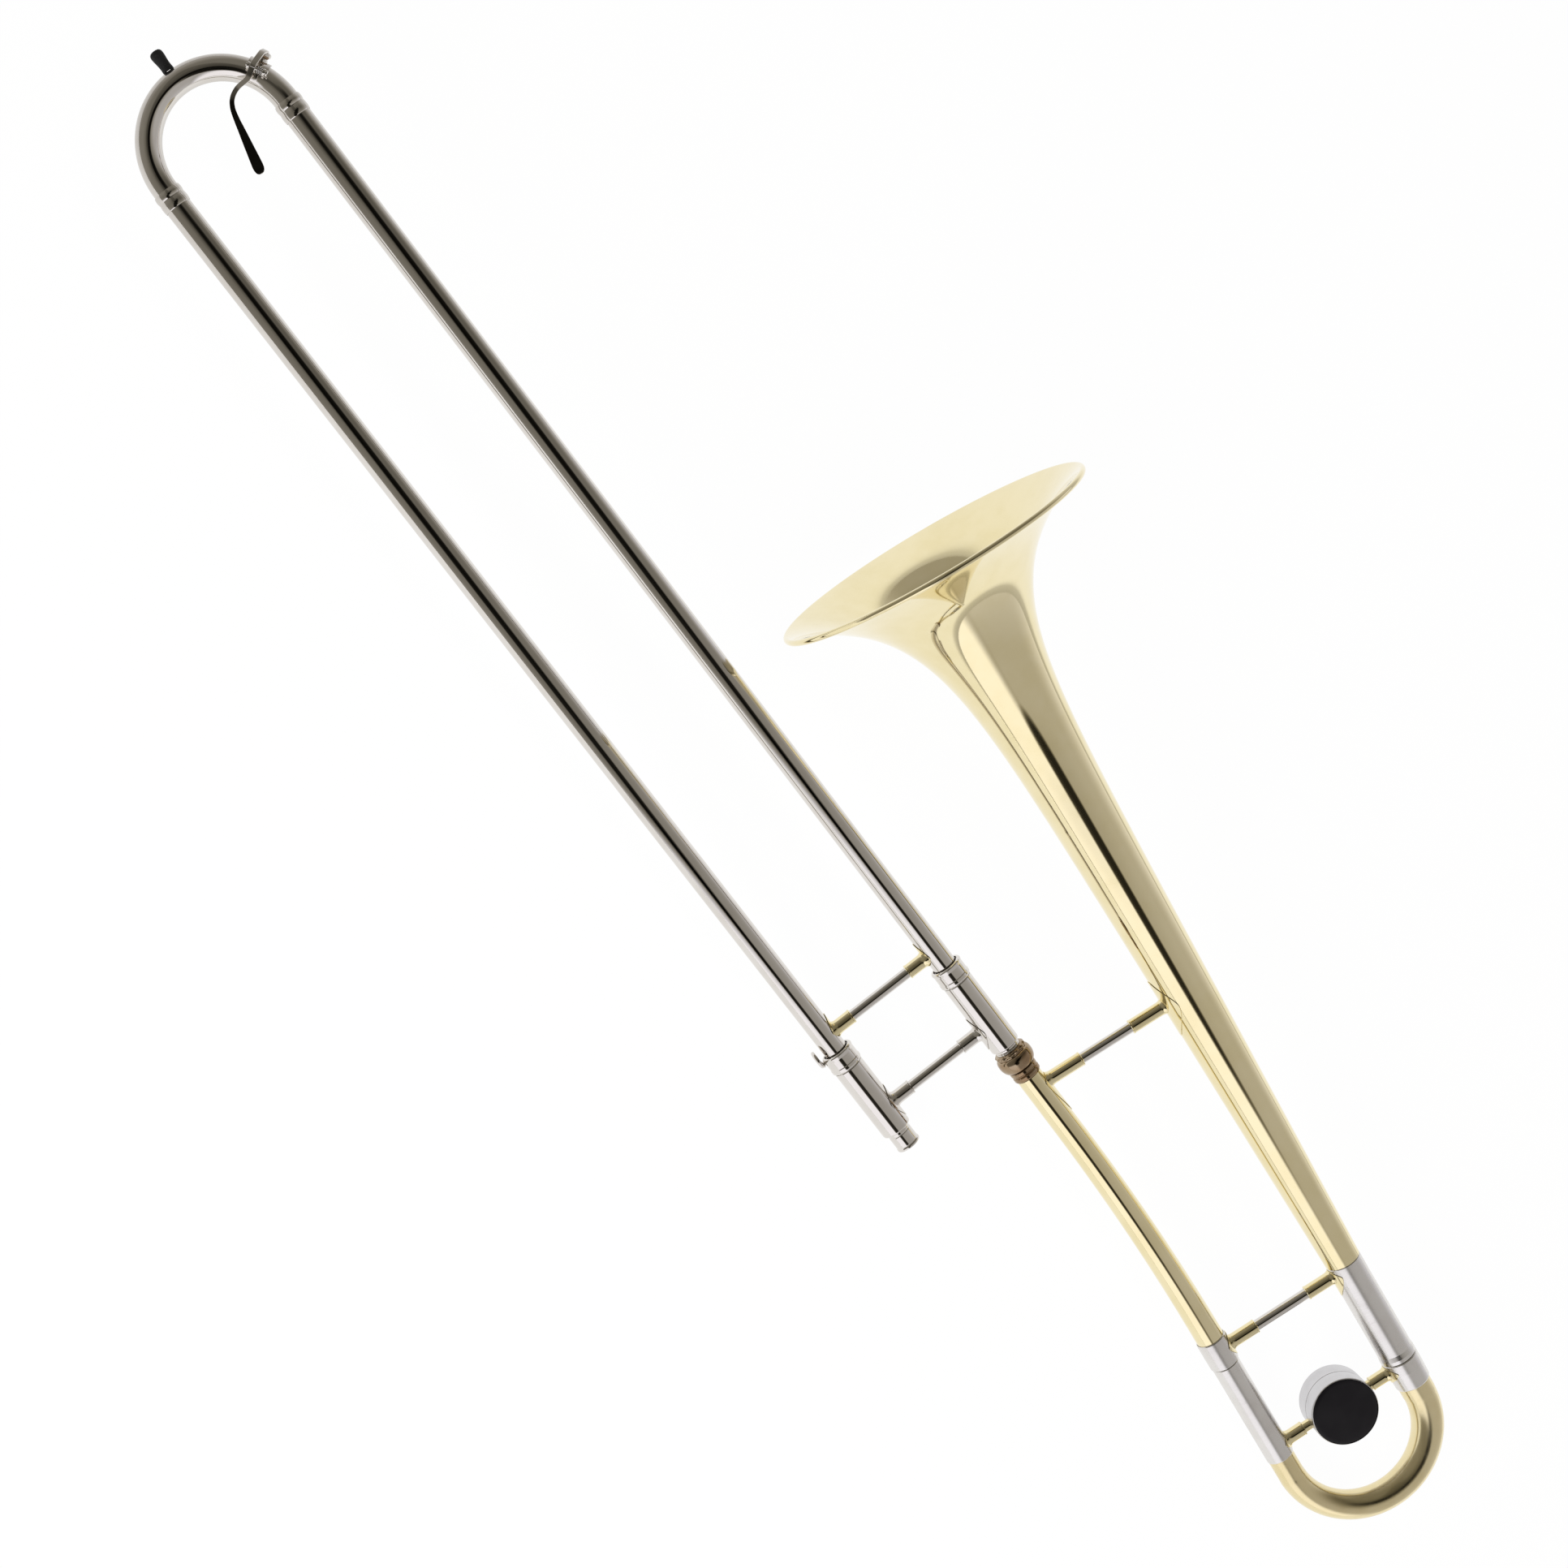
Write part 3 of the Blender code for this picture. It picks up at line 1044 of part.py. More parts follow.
def build_counterweight(parent):
    """Two half drums clamped on the tuning brace by two screws, with a plain black cap.

    The frame's Z is the drum's axis, and the brace's rod runs along Y through its middle.
    """
    groove_radius = BRACE_ROD_RADIUS + SEAT_GAP
    split = SOLDER_GAP / 2
    cap_radius = WEIGHT_RADIUS - WEIGHT_RIM
    floor = WEIGHT_FRONT_DEPTH - CAP_DEPTH - SEAT_GAP
    front = turned_solid([
        (0, floor), (cap_radius, floor), (cap_radius, WEIGHT_FRONT_DEPTH),
        (WEIGHT_RADIUS - 0.0003, WEIGHT_FRONT_DEPTH), (WEIGHT_RADIUS, WEIGHT_FRONT_DEPTH - 0.0004),
        (WEIGHT_RADIUS, split), (0, split)], BELL_STEPS)
    back = turned_solid([
        (0, -split), (WEIGHT_RADIUS, -split), (WEIGHT_RADIUS, -WEIGHT_BACK_DEPTH + 0.0010),
        (WEIGHT_RADIUS - 0.0010, -WEIGHT_BACK_DEPTH), (0, -WEIGHT_BACK_DEPTH)], BELL_STEPS)
    head_top = floor
    head_floor = floor - WEIGHT_SCREW_HEAD
    for half, name in ((front, "counterweight_front"), (back, "counterweight_back")):
        groove = moved(rod(groove_radius, -0.05, 0.05), turn=ALONG_Y)
        half = combined(half, groove, "DIFFERENCE")
        for side in (-1, 1):
            at = (side * WEIGHT_SCREW_OFFSET, 0, 0)
            shank = rod(WEIGHT_SCREW_RADIUS + SOLDER_GAP, -WEIGHT_SCREW_GRIP - SEAT_GAP, 0.05, 12)
            half = combined(half, moved(shank, at), "DIFFERENCE")
            if name == "counterweight_front":
                head_hole = rod(WEIGHT_SCREW_HEAD_RADIUS + SOLDER_GAP, head_floor, 0.05, 12)
                half = combined(half, moved(head_hole, at), "DIFFERENCE")
        place_piece(half, name, "satin_nickel", parent)
    for side, name in ((-1, "upper"), (1, "lower")):
        screw = turned_solid([
            (0, head_top - SEAT_GAP), (WEIGHT_SCREW_HEAD_RADIUS, head_top - SEAT_GAP),
            (WEIGHT_SCREW_HEAD_RADIUS, head_floor + SEAT_GAP), (WEIGHT_SCREW_RADIUS, head_floor + SEAT_GAP),
            (WEIGHT_SCREW_RADIUS, -WEIGHT_SCREW_GRIP), (0, -WEIGHT_SCREW_GRIP)], 12)
        place_piece(
            screw, f"counterweight_screw_{name}", "spring_steel", parent,
            (side * WEIGHT_SCREW_OFFSET, 0, 0),
        )
    radius = cap_radius - SOLDER_GAP
    base = floor + SEAT_GAP
    top = WEIGHT_FRONT_DEPTH
    cap = turned_solid([
        (0, top + CAP_CROWN), (radius * 0.6, top + CAP_CROWN * 0.75), (radius - 0.0010, top + 0.0002),
        (radius, top - 0.0005), (radius, base), (0, base)], BELL_STEPS)
    place_piece(cap, "counterweight_cap", "black_cap", parent)


def lowest_of_circle(centre, axis, radius, up):
    down = -(up - axis * up.dot(axis)).normalized()
    return centre + down * radius


def resting_matrix():
    """Turns the slide frame so that barrel end, counterweight and bell rim touch one level plane."""
    cos, sin = math.cos(BELL_ANGLE), math.sin(BELL_ANGLE)
    down_bell = Vector((cos, -sin, 0))
    across_bell = Vector((sin, cos, 0))
    rim_centre = Vector((RIM_POSITION, HALF + rim_distance(), 0))
    weight = rim_centre + down_bell * TUNING_BRACE_X - across_bell * LEG_SPACING / 2
    circles = (
        (Vector((BARREL_END_MOUTHPIECE_SIDE, -HALF, 0)), Vector((1, 0, 0)), BARREL_OD / 2),
        (weight - Vector((0, 0, WEIGHT_BACK_DEPTH)), Vector((0, 0, 1)), WEIGHT_RADIUS - 0.001),
        (rim_centre + down_bell * RIM_CURL, down_bell, BELL_DIAMETER / 2),
    )
    up = Vector((0, 0, 1))
    for _ in range(60):
        a, b, c = (lowest_of_circle(*circle, up) for circle in circles)
        normal = (b - a).cross(c - a).normalized()
        up = normal if normal.z > 0 else -normal
    ahead = (Vector((1, 0, 0)) - up * up.x).normalized()
    side = up.cross(ahead)
    return Matrix((ahead, side, up)).to_4x4()


def stand_at_origin(root):
    """Moves the whole instrument so that its box stands on the ground, centred on the origin."""
    bpy.context.view_layer.update()
    pieces = bpy.data.collections["tenor_trombone"].objects
    corners = [obj.matrix_world @ vert.co for obj in pieces for vert in obj.data.vertices]
    low = [min(corner[i] for corner in corners) for i in range(3)]
    high = [max(corner[i] for corner in corners) for i in range(3)]
    root.location = (-(low[0] + high[0]) / 2, -(low[1] + high[1]) / 2, -low[2])
    bpy.context.view_layer.update()


def main():
    clear_scene()
    collection = bpy.data.collections.new("tenor_trombone")
    bpy.context.scene.collection.children.link(collection)

    root = frame("resting_pose")
    root.rotation_euler = resting_matrix().to_euler()
    inner_slide = frame("inner_slide_frame", root)
    outer_slide = frame("outer_slide_frame", root)
    key_centre = (HALF * math.cos(KEY_ANGLE), HALF * math.sin(KEY_ANGLE), 0)
    key_turn = (0, 0, KEY_ANGLE - math.pi / 2)
    water_key_seat = frame("water_key_seat", outer_slide, key_centre, key_turn)
    water_key = frame("water_key_hinge", water_key_seat, (0, PIVOT_OUTWARD, PIVOT_HEIGHT))
    lock_ring = frame("slide_lock_axis", inner_slide, (0, -HALF, 0))
    lock_nut = frame("lock_nut_axis", inner_slide, (0, HALF, 0))
    bell_section = frame("bell_section_axis", inner_slide, (0, HALF, 0))
    bell_turn = (0, 0, -BELL_ANGLE)
    bell = frame("bell_frame", bell_section, (RIM_POSITION, rim_distance(), 0), bell_turn)
    tuning_slide = frame("tuning_slide_frame", bell)
    weight = frame("counterweight_frame", tuning_slide, (TUNING_BRACE_X, -LEG_SPACING / 2, 0))

    build_outer_slide(outer_slide)
    build_bumper(outer_slide)
    build_water_key(water_key_seat, water_key)
    build_inner_slide(inner_slide)
    build_lock_ring(lock_ring)
    build_lock_nut(lock_nut)
    build_neck(bell_section, bell)
    build_bell(bell)
    build_neck_leg(bell)
    build_bell_braces(bell)
    build_tuning_slide(tuning_slide)
    build_counterweight(weight)
    stand_at_origin(root)


main()
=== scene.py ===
"""Tenor trombone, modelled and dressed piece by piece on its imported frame.

Everything is in metres. The slide's working frame has its origin at the centre of the crook's bend,
X along the slide towards the player, Y towards the bell and Z facing the viewer. The bell's working
frame has its origin at the centre of the rim, X down the bell and Y away from the neck.
"""

import json
import logging
import math
from dataclasses import dataclass
from enum import Enum
from typing import Callable, Mapping, Optional, Sequence, Union

import bmesh
import bpy
from mathutils import Matrix, Vector


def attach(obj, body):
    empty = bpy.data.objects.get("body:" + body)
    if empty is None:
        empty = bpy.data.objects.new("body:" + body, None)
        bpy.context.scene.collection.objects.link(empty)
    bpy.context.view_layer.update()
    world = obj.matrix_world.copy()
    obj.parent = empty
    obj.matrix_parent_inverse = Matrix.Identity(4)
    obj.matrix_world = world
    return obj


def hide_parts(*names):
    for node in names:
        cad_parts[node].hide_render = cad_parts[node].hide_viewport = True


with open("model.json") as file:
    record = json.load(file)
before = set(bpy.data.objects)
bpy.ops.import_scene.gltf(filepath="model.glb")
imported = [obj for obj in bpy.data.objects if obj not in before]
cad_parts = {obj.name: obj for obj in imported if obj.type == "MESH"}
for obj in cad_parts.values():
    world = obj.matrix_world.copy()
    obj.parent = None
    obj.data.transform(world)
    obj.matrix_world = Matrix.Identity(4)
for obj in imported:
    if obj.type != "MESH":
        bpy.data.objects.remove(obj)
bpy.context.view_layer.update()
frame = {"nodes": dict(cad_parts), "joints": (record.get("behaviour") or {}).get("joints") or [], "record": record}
LOG = logging.getLogger("tenor_trombone")

Outline = Sequence[tuple[float, float]]
Points = list[tuple[float, float]]
Colour = tuple[float, float, float]
Object = bpy.types.Object
Seat = Callable[[float], float]
Span = tuple[float, float]
End = tuple[str, float, Seat, Span, float]
Station = tuple[Vector, float, float]

SOLDER_GAP = 0.0001
RUN_GAP = 0.0001
SEAT_GAP = 0.0003
TENTH = 0.0001
MILLIMETRE = 0.001
MERGE_REACH = 1e-6
HAIR = 1e-7
SLIDE_SPACING = 0.0828
BELL_JOINT_X = 0.70
TO_Y = Matrix.Rotation(math.pi / 2, 4, "Z")
TO_MINUS_Y = Matrix.Rotation(-math.pi / 2, 4, "Z")
TO_Z = Matrix.Rotation(-math.pi / 2, 4, "Y")
TO_MINUS_X = Matrix.Rotation(math.pi, 4, "Z")


class Level:
    """A number running through a material's nodes, so that sums on it are written as Python."""

    def __init__(self, sheet: "Sheet", socket: bpy.types.NodeSocket) -> None:
        """Wraps one output socket of a material's sheet."""
        self.sheet = sheet
        self.socket = socket

    def _sum(self, operation: str, first: object, second: object) -> "Level":
        """Adds one Math node.

        Args:
            operation: the Math node's operation.
            first: a Level or a number.
            second: a Level or a number.

        Returns:
            The result as a Level.
        """
        node = self.sheet.node("ShaderNodeMath", {"operation": operation}, {0: first, 1: second})
        return Level(self.sheet, node.outputs[0])

    def __add__(self, other: Union["Level", float]) -> "Level":
        """self + other."""
        return self._sum("ADD", self, other)

    def __sub__(self, other: Union["Level", float]) -> "Level":
        """self - other."""
        return self._sum("SUBTRACT", self, other)

    def __rsub__(self, other: float) -> "Level":
        """other - self."""
        return self._sum("SUBTRACT", other, self)

    def __mul__(self, other: Union["Level", float]) -> "Level":
        """self * other."""
        return self._sum("MULTIPLY", self, other)

    def __truediv__(self, other: Union["Level", float]) -> "Level":
        """self / other."""
        return self._sum("DIVIDE", self, other)

    __radd__, __rmul__ = __add__, __mul__

    def over(self, low: float, high: float) -> "Level":
        """0 below low, 1 above high, and a smooth rise between them."""
        node = self.sheet.node(
            "ShaderNodeMapRange", {"interpolation_type": "SMOOTHSTEP"},
            {"Value": self, "From Min": low, "From Max": high},
        )
        return Level(self.sheet, node.outputs["Result"])


class Sheet:
    """The node sheet of one material or of the world."""

    def __init__(self, tree: bpy.types.NodeTree) -> None:
        """Empties the tree and starts on it."""
        self.tree = tree
        tree.nodes.clear()

    def node(
        self, kind: str, settings: Optional[Mapping[str, object]] = None,
        sockets: Optional[Mapping[Union[str, int], object]] = None,
    ) -> bpy.types.Node:
        """Adds a node.

        Args:
            kind: the node's type.
            settings: its own settings, set first. stops is a ramp's list of (place, colour).
            sockets: a value, a Level or an output socket for each input.

        Returns:
            The node.
        """
        node = self.tree.nodes.new(kind)
        for key, value in (settings or {}).items():
            if key == "stops":
                self._set_stops(node.color_ramp, value)
            else:
                setattr(node, key, value)
        for key, value in (sockets or {}).items():
            if isinstance(value, Level):
                value = value.socket
            if isinstance(value, bpy.types.NodeSocket):
                self.tree.links.new(value, node.inputs[key])
            else:
                node.inputs[key].default_value = value
        return node

    @staticmethod
    def _set_stops(ramp: bpy.types.ColorRamp, stops: Sequence[tuple[float, Colour]]) -> None:
        """Gives a ramp its stops, in rising order."""
        ramp.elements[0].position, ramp.elements[-1].position = stops[0][0], stops[-1][0]
        for place, _ in stops[1:-1]:
            ramp.elements.new(place)
        for element, (_, colour) in zip(ramp.elements, stops):
            element.color = (*colour, 1.0)

    def mixed(self, share: object, first: object, second: object) -> bpy.types.NodeSocket:
        """A colour between two colours."""
        node = self.node(
            "ShaderNodeMix", {"data_type": "RGBA"},
            {0: share, 6: self._colour(first), 7: self._colour(second)},
        )
        return node.outputs[2]

    @staticmethod
    def _colour(value: object) -> object:
        """A colour with its alpha, or a socket as it is."""
        return (*value, 1.0) if isinstance(value, tuple) else value


class Grain(Enum):
    """How the polishing or brushing lines run over a piece."""

    ALONG = (14.0, 620.0, 620.0)
    AROUND = (900.0, 9.0, 9.0)
    CLOUDY = (160.0, 160.0, 160.0)


@dataclass(frozen=True)
class Finish:
    """The look of one kind of metal or rubber, as numbers for its shader."""

    slot: str
    colour: Colour
    tint: Colour
    metallic: float
    roughness: float
    spread: float
    haze: float
    relief: float
    coat: float = 0.0
    specular: float = 0.5
    speck: float = 0.0
    speck_colour: Colour = (0.0, 0.0, 0.0)
    speck_scale: float = 900.0
    cloud_scale: float = 26.0
    bloom_scale: float = 95.0
    coat_roughness: float = 0.07

    def dress(self, place: Matrix, grain: Grain) -> bpy.types.Material:
        """Makes the material for pieces that stand in one working frame.

        Args:
            place: the working frame that the grain follows.
            grain: how the lines run in it.

        Returns:
            The material, made once and then used again.
        """
        label = f"{self.slot}.{round(self.colour[0] * 100)}.{grain.name.lower()}"
        label += f".{round(place.to_translation().x * 1000)}"
        label += f".{round(place.to_translation().y * 1000)}"
        known = bpy.data.materials.get(label)
        if known:
            return known
        material = bpy.data.materials.new(label)
        material.use_nodes = True
        sheet = Sheet(material.node_tree)
        spot, turn, _ = place.decompose()
        where = sheet.node("ShaderNodeTexCoord").outputs["Object"]
        local = sheet.node(
            "ShaderNodeMapping", {"vector_type": "TEXTURE"},
            {"Vector": where, "Location": spot, "Rotation": turn.to_euler()},
        ).outputs["Vector"]
        lines = self._noise(sheet, self._stretched(sheet, local, grain.value), 1.0, 3.0)
        clouds = self._noise(sheet, local, self.cloud_scale, 3.0)
        blooms = self._noise(sheet, local, self.bloom_scale, 4.0)
        colour = sheet.mixed((clouds * 0.6 + blooms * 0.4).over(0.35, 0.72), self.colour, self.tint)
        if self.speck:
            specks = self._noise(sheet, local, self.speck_scale, 2.0).over(0.56, 0.70)
            colour = sheet.mixed(specks * self.speck, colour, self.speck_colour)
        haze = blooms.over(0.5, 0.8) + clouds.over(0.45, 0.75) * 0.5
        rough = self.roughness + (lines - 0.5) * self.spread + haze * self.haze
        relief = lines * 0.6 + blooms * 0.4
        bump = sheet.node(
            "ShaderNodeBump", None,
            {"Strength": 1.0, "Distance": self.relief, "Height": relief},
        )
        shader = sheet.node("ShaderNodeBsdfPrincipled", None, {
            "Base Color": colour, "Roughness": rough, "Metallic": self.metallic,
            "Normal": bump.outputs["Normal"], "Specular IOR Level": self.specular,
            "Coat Weight": self.coat, "Coat Roughness": self.coat_roughness,
        })
        sheet.node("ShaderNodeOutputMaterial", None, {"Surface": shader.outputs[0]})
        return material

    @staticmethod
    def _stretched(
        sheet: Sheet, where: bpy.types.NodeSocket, scale: tuple[float, float, float]
    ) -> bpy.types.NodeSocket:
        """The coordinates stretched, so that a noise on them turns into lines."""
        node = sheet.node("ShaderNodeMapping", None, {"Vector": where, "Scale": scale})
        return node.outputs["Vector"]

    @staticmethod
    def _noise(sheet: Sheet, where: bpy.types.NodeSocket, scale: float, detail: float) -> Level:
        """A noise between 0 and 1."""
        node = sheet.node(
            "ShaderNodeTexNoise", None, {"Vector": where, "Scale": scale, "Detail": detail}
        )
        return Level(sheet, node.outputs["Fac"])


@dataclass(frozen=True)
class Finishes:
    """Every finish of the instrument."""

    nickel: Finish = Finish(
        "nickel", (0.74, 0.71, 0.67), (0.69, 0.655, 0.61), 1.0, 0.05, 0.03, 0.04, 0.000001)
    satin_nickel: Finish = Finish(
        "satin_nickel", (0.78, 0.76, 0.73), (0.73, 0.70, 0.67), 1.0, 0.24, 0.10, 0.05, 0.000005)
    brass: Finish = Finish(
        "lacquered_brass", (0.87, 0.77, 0.49), (0.83, 0.725, 0.43), 1.0, 0.05, 0.03, 0.04, 0.000001,
        coat=0.3)
    satin_brass: Finish = Finish(
        "lacquered_brass", (0.84, 0.73, 0.45), (0.79, 0.67, 0.38), 1.0, 0.20, 0.08, 0.05, 0.000002,
        coat=0.25)
    dark_bronze: Finish = Finish(
        "dark_bronze", (0.45, 0.37, 0.26), (0.28, 0.18, 0.10), 1.0, 0.09, 0.06, 0.06, 0.000003,
        speck=0.4, speck_colour=(0.14, 0.07, 0.03), speck_scale=90.0)
    # A darker copy of the satin nickel for the counterweight's drum: the darkening is painted shade, not a
    # different metal.
    drum_nickel: Finish = Finish(
        "satin_nickel", (0.66, 0.65, 0.66), (0.60, 0.59, 0.60), 1.0, 0.30, 0.12, 0.05, 0.000005)
    steel: Finish = Finish(
        "spring_steel", (0.52, 0.51, 0.50), (0.44, 0.43, 0.42), 1.0, 0.24, 0.08, 0.05, 0.000004)
    rubber: Finish = Finish(
        "black_rubber", (0.008, 0.008, 0.009), (0.014, 0.014, 0.014), 0.0, 0.58, 0.10, 0.14,
        0.00003, specular=0.3, speck=0.25, speck_colour=(0.05, 0.05, 0.05), speck_scale=1500.0)
    cap: Finish = Finish(
        "black_cap", (0.007, 0.006, 0.008), (0.012, 0.011, 0.013), 0.0, 0.30, 0.08, 0.08, 0.000004,
        specular=0.22)
    cork: Finish = Finish(
        "cork", (0.52, 0.37, 0.23), (0.42, 0.28, 0.17), 0.0, 0.82, 0.10, 0.05, 0.0001,
        speck=0.8, speck_colour=(0.18, 0.10, 0.06), speck_scale=1700.0)
    felt: Finish = Finish(
        "felt", (0.22, 0.09, 0.08), (0.30, 0.13, 0.11), 0.0, 0.95, 0.05, 0.03, 0.0002,
        speck=0.3, speck_colour=(0.45, 0.25, 0.22), speck_scale=3200.0)

    def of_slot(self, slot: str) -> Finish:
        """The finish that a slot of the record stands for."""
        every = (self.nickel, self.satin_nickel, self.brass, self.dark_bronze, self.steel,
                 self.rubber, self.cap, self.cork, self.felt)
        return next(finish for finish in every if finish.slot == slot)


FINISH = Finishes()


class Places:
    """The working frames of the trombone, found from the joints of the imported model."""

    def __init__(self, joints: Sequence[Mapping[str, object]]) -> None:
        """Finds the slide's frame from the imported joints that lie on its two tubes."""
        named = {joint["name"]: joint for joint in joints}
        ahead = -Vector(named["main_slide"]["axis"]).normalized()
        on_bell_side = Vector(named["bell_turn"]["pos_m"])
        across = on_bell_side - Vector(named["slide_lock_turn"]["pos_m"])
        across = (across - ahead * across.dot(ahead)).normalized()
        up = ahead.cross(across)
        origin = on_bell_side - ahead * BELL_JOINT_X - across * (SLIDE_SPACING / 2)
        self.slide = Matrix((ahead, across, up)).transposed().to_4x4()
        self.slide.translation = origin

    def tube(self, y: float) -> Matrix:
        """The line of one slide tube."""
        return self.slide @ Matrix.Translation((0, y, 0))


BODY_OF = {
    node: body for body, nodes in frame["record"]["behaviour"]["bodies"].items() for node in nodes
}


class Bench:
    """The tools that every piece is made with. Each leaves its piece alone selected."""

    @staticmethod
    def clear() -> None:
        """Leaves edit mode and deselects everything."""
        if bpy.context.object and bpy.context.object.mode != "OBJECT":
            bpy.ops.object.mode_set(mode="OBJECT")
        bpy.ops.object.select_all(action="DESELECT")

    @classmethod
    def take(cls, obj: Object) -> None:
        """Selects one piece alone."""
        cls.clear()
        obj.select_set(True)
        bpy.context.view_layer.objects.active = obj

    @classmethod
    def draw(cls, points: Sequence[Sequence[float]], closed: bool = False) -> Object:
        """Draws a run of joined points.

        Args:
            points: the points, of two or three coordinates.
            closed: whether the last point is joined to the first.

        Returns:
            The line, in edit mode and selected all over.
        """
        cls.clear()
        run = [Vector((*point, 0.0)[:3]) for point in points]
        if closed:
            run.append(run[0])
        bpy.ops.mesh.primitive_plane_add(size=0.01, location=(0, 0, 0))
        obj = bpy.context.object
        bpy.ops.object.mode_set(mode="EDIT")
        bpy.ops.mesh.merge(type="CENTER")
        bpy.ops.transform.translate(value=run[0])
        for before, after in zip(run, run[1:]):
            bpy.ops.mesh.extrude_vertices_move(TRANSFORM_OT_translate={"value": after - before})
        bpy.ops.mesh.select_all(action="SELECT")
        bpy.ops.mesh.remove_doubles(threshold=HAIR)
        bpy.ops.mesh.select_all(action="SELECT")
        return obj

    @classmethod
    def seal(cls, obj: Object) -> Object:
        """Turns the faces of the piece in edit mode outwards and leaves edit mode."""
        bpy.ops.mesh.select_all(action="SELECT")
        bpy.ops.mesh.normals_make_consistent(inside=False)
        cls.take(obj)
        return obj

    @classmethod
    def turn(
        cls, outline: Outline, steps: int = 96, edge: float = 0.0, closed: bool = True,
        wall: float = 0.0,
    ) -> Object:
        """Turns an outline about X.

        Args:
            outline: points of (along, radius). A solid's outline starts and ends on the axis.
            steps: how many faces go round.
            edge: how far the outline's corners are rounded off.
            closed: whether the outline is closed.
            wall: the thickness that an open outline's skin gets, to both sides.

        Returns:
            The piece.
        """
        obj = cls.draw(outline, closed)
        if edge:
            bpy.ops.mesh.bevel(offset=edge, segments=3, affect="VERTICES", clamp_overlap=True)
            bpy.ops.mesh.select_all(action="SELECT")
        bpy.ops.mesh.spin(steps=steps, angle=2 * math.pi, center=(0, 0, 0), axis=(1, 0, 0))
        bpy.ops.mesh.select_all(action="SELECT")
        bpy.ops.mesh.remove_doubles(threshold=MERGE_REACH)
        cls.seal(obj)
        if wall:
            cls.thicken(obj, wall, 0.0)
        return cls.smooth(obj)

    @classmethod
    def plate(
        cls, points: Sequence[Sequence[float]], push: Vector, rounding: float, limit: float = 40
    ) -> Object:
        """Fills a closed outline, draws it out by push and rounds the plate's edges."""
        obj = cls.draw(points, True)
        bpy.ops.mesh.edge_face_add()
        bpy.ops.mesh.extrude_region_move(TRANSFORM_OT_translate={"value": push})
        return cls.round_edges(cls.seal(obj), rounding, 2, limit)

    @classmethod
    def apply(cls, obj: Object, kind: str, **settings: object) -> Object:
        """Gives a piece a modifier with these settings and applies it."""
        modifier = obj.modifiers.new(kind.lower(), kind)
        for name, value in settings.items():
            setattr(modifier, name, value)
        cls.take(obj)
        bpy.ops.object.modifier_apply(modifier=modifier.name)
        return obj

    @classmethod
    def thicken(cls, obj: Object, wall: float, offset: float) -> Object:
        """Gives a skin its wall."""
        return cls.apply(obj, "SOLIDIFY", thickness=wall, offset=offset, use_even_offset=True)

    @classmethod
    def round_edges(cls, obj: Object, width: float, segments: int = 2, limit: float = 40) -> Object:
        """Rounds the sharp edges of a piece."""
        return cls.apply(obj, "BEVEL", width=width, segments=segments, limit_method="ANGLE",
                         angle_limit=math.radians(limit))

    @classmethod
    def smooth(cls, obj: Object, angle: float = 38.0) -> Object:
        """Shades a piece smooth, but for its edges."""
        cls.take(obj)
        bpy.ops.object.shade_smooth_by_angle(angle=math.radians(angle))
        return obj

    @staticmethod
    def draw_out(stations: Sequence[Station]) -> None:
        """Extrudes what is selected through stations of (middle, width, heading)."""
        for (here, size, facing), (there, after, turned) in zip(stations, stations[1:]):
            bpy.ops.mesh.extrude_region_move(TRANSFORM_OT_translate={"value": there - here})
            if abs(turned - facing) > HAIR:
                bpy.ops.transform.rotate(
                    value=facing - turned, orient_axis="Z", center_override=there
                )
            share = after / size
            bpy.ops.transform.resize(value=(share, share, share), center_override=there)

    @classmethod
    def bend(cls, stations: Sequence[Station], wall: float, sides: int = 72) -> Object:
        """Runs a tube through stations in the XY plane.

        Args:
            stations: (middle, outside radius, heading) of each ring.
            wall: the tube's wall, inwards.
            sides: how many faces go round.

        Returns:
            The tube, with open ends.
        """
        cls.clear()
        middle, radius, heading = stations[0]
        bpy.ops.mesh.primitive_circle_add(
            vertices=sides, radius=radius, location=middle, rotation=(0, math.pi / 2, heading)
        )
        obj = bpy.context.object
        bpy.ops.object.mode_set(mode="EDIT")
        cls.draw_out(stations)
        cls.seal(obj)
        bpy.ops.object.transform_apply(location=True, rotation=True, scale=True)
        return cls.smooth(cls.thicken(obj, wall, -1.0))

    @classmethod
    def strap(
        cls, stations: Sequence[Station], thickness: float, rounding: float, faces: int = 1
    ) -> Object:
        """Draws out a flat strap.

        Args:
            stations: (middle, half width, heading) of each place where the strap is shaped.
            thickness: the strap's thickness.
            rounding: how far its edges are rounded.
            faces: how many faces lie side by side over its width.

        Returns:
            The strap.
        """
        middle, half, heading = stations[0]
        side = Vector((-math.sin(heading), math.cos(heading), 0)) * half
        obj = cls.draw([middle + side * (2 * i / faces - 1) for i in range(faces + 1)])
        cls.draw_out(stations)
        cls.thicken(cls.seal(obj), thickness, 0.0)
        return cls.round_edges(obj, rounding, 3, 50)

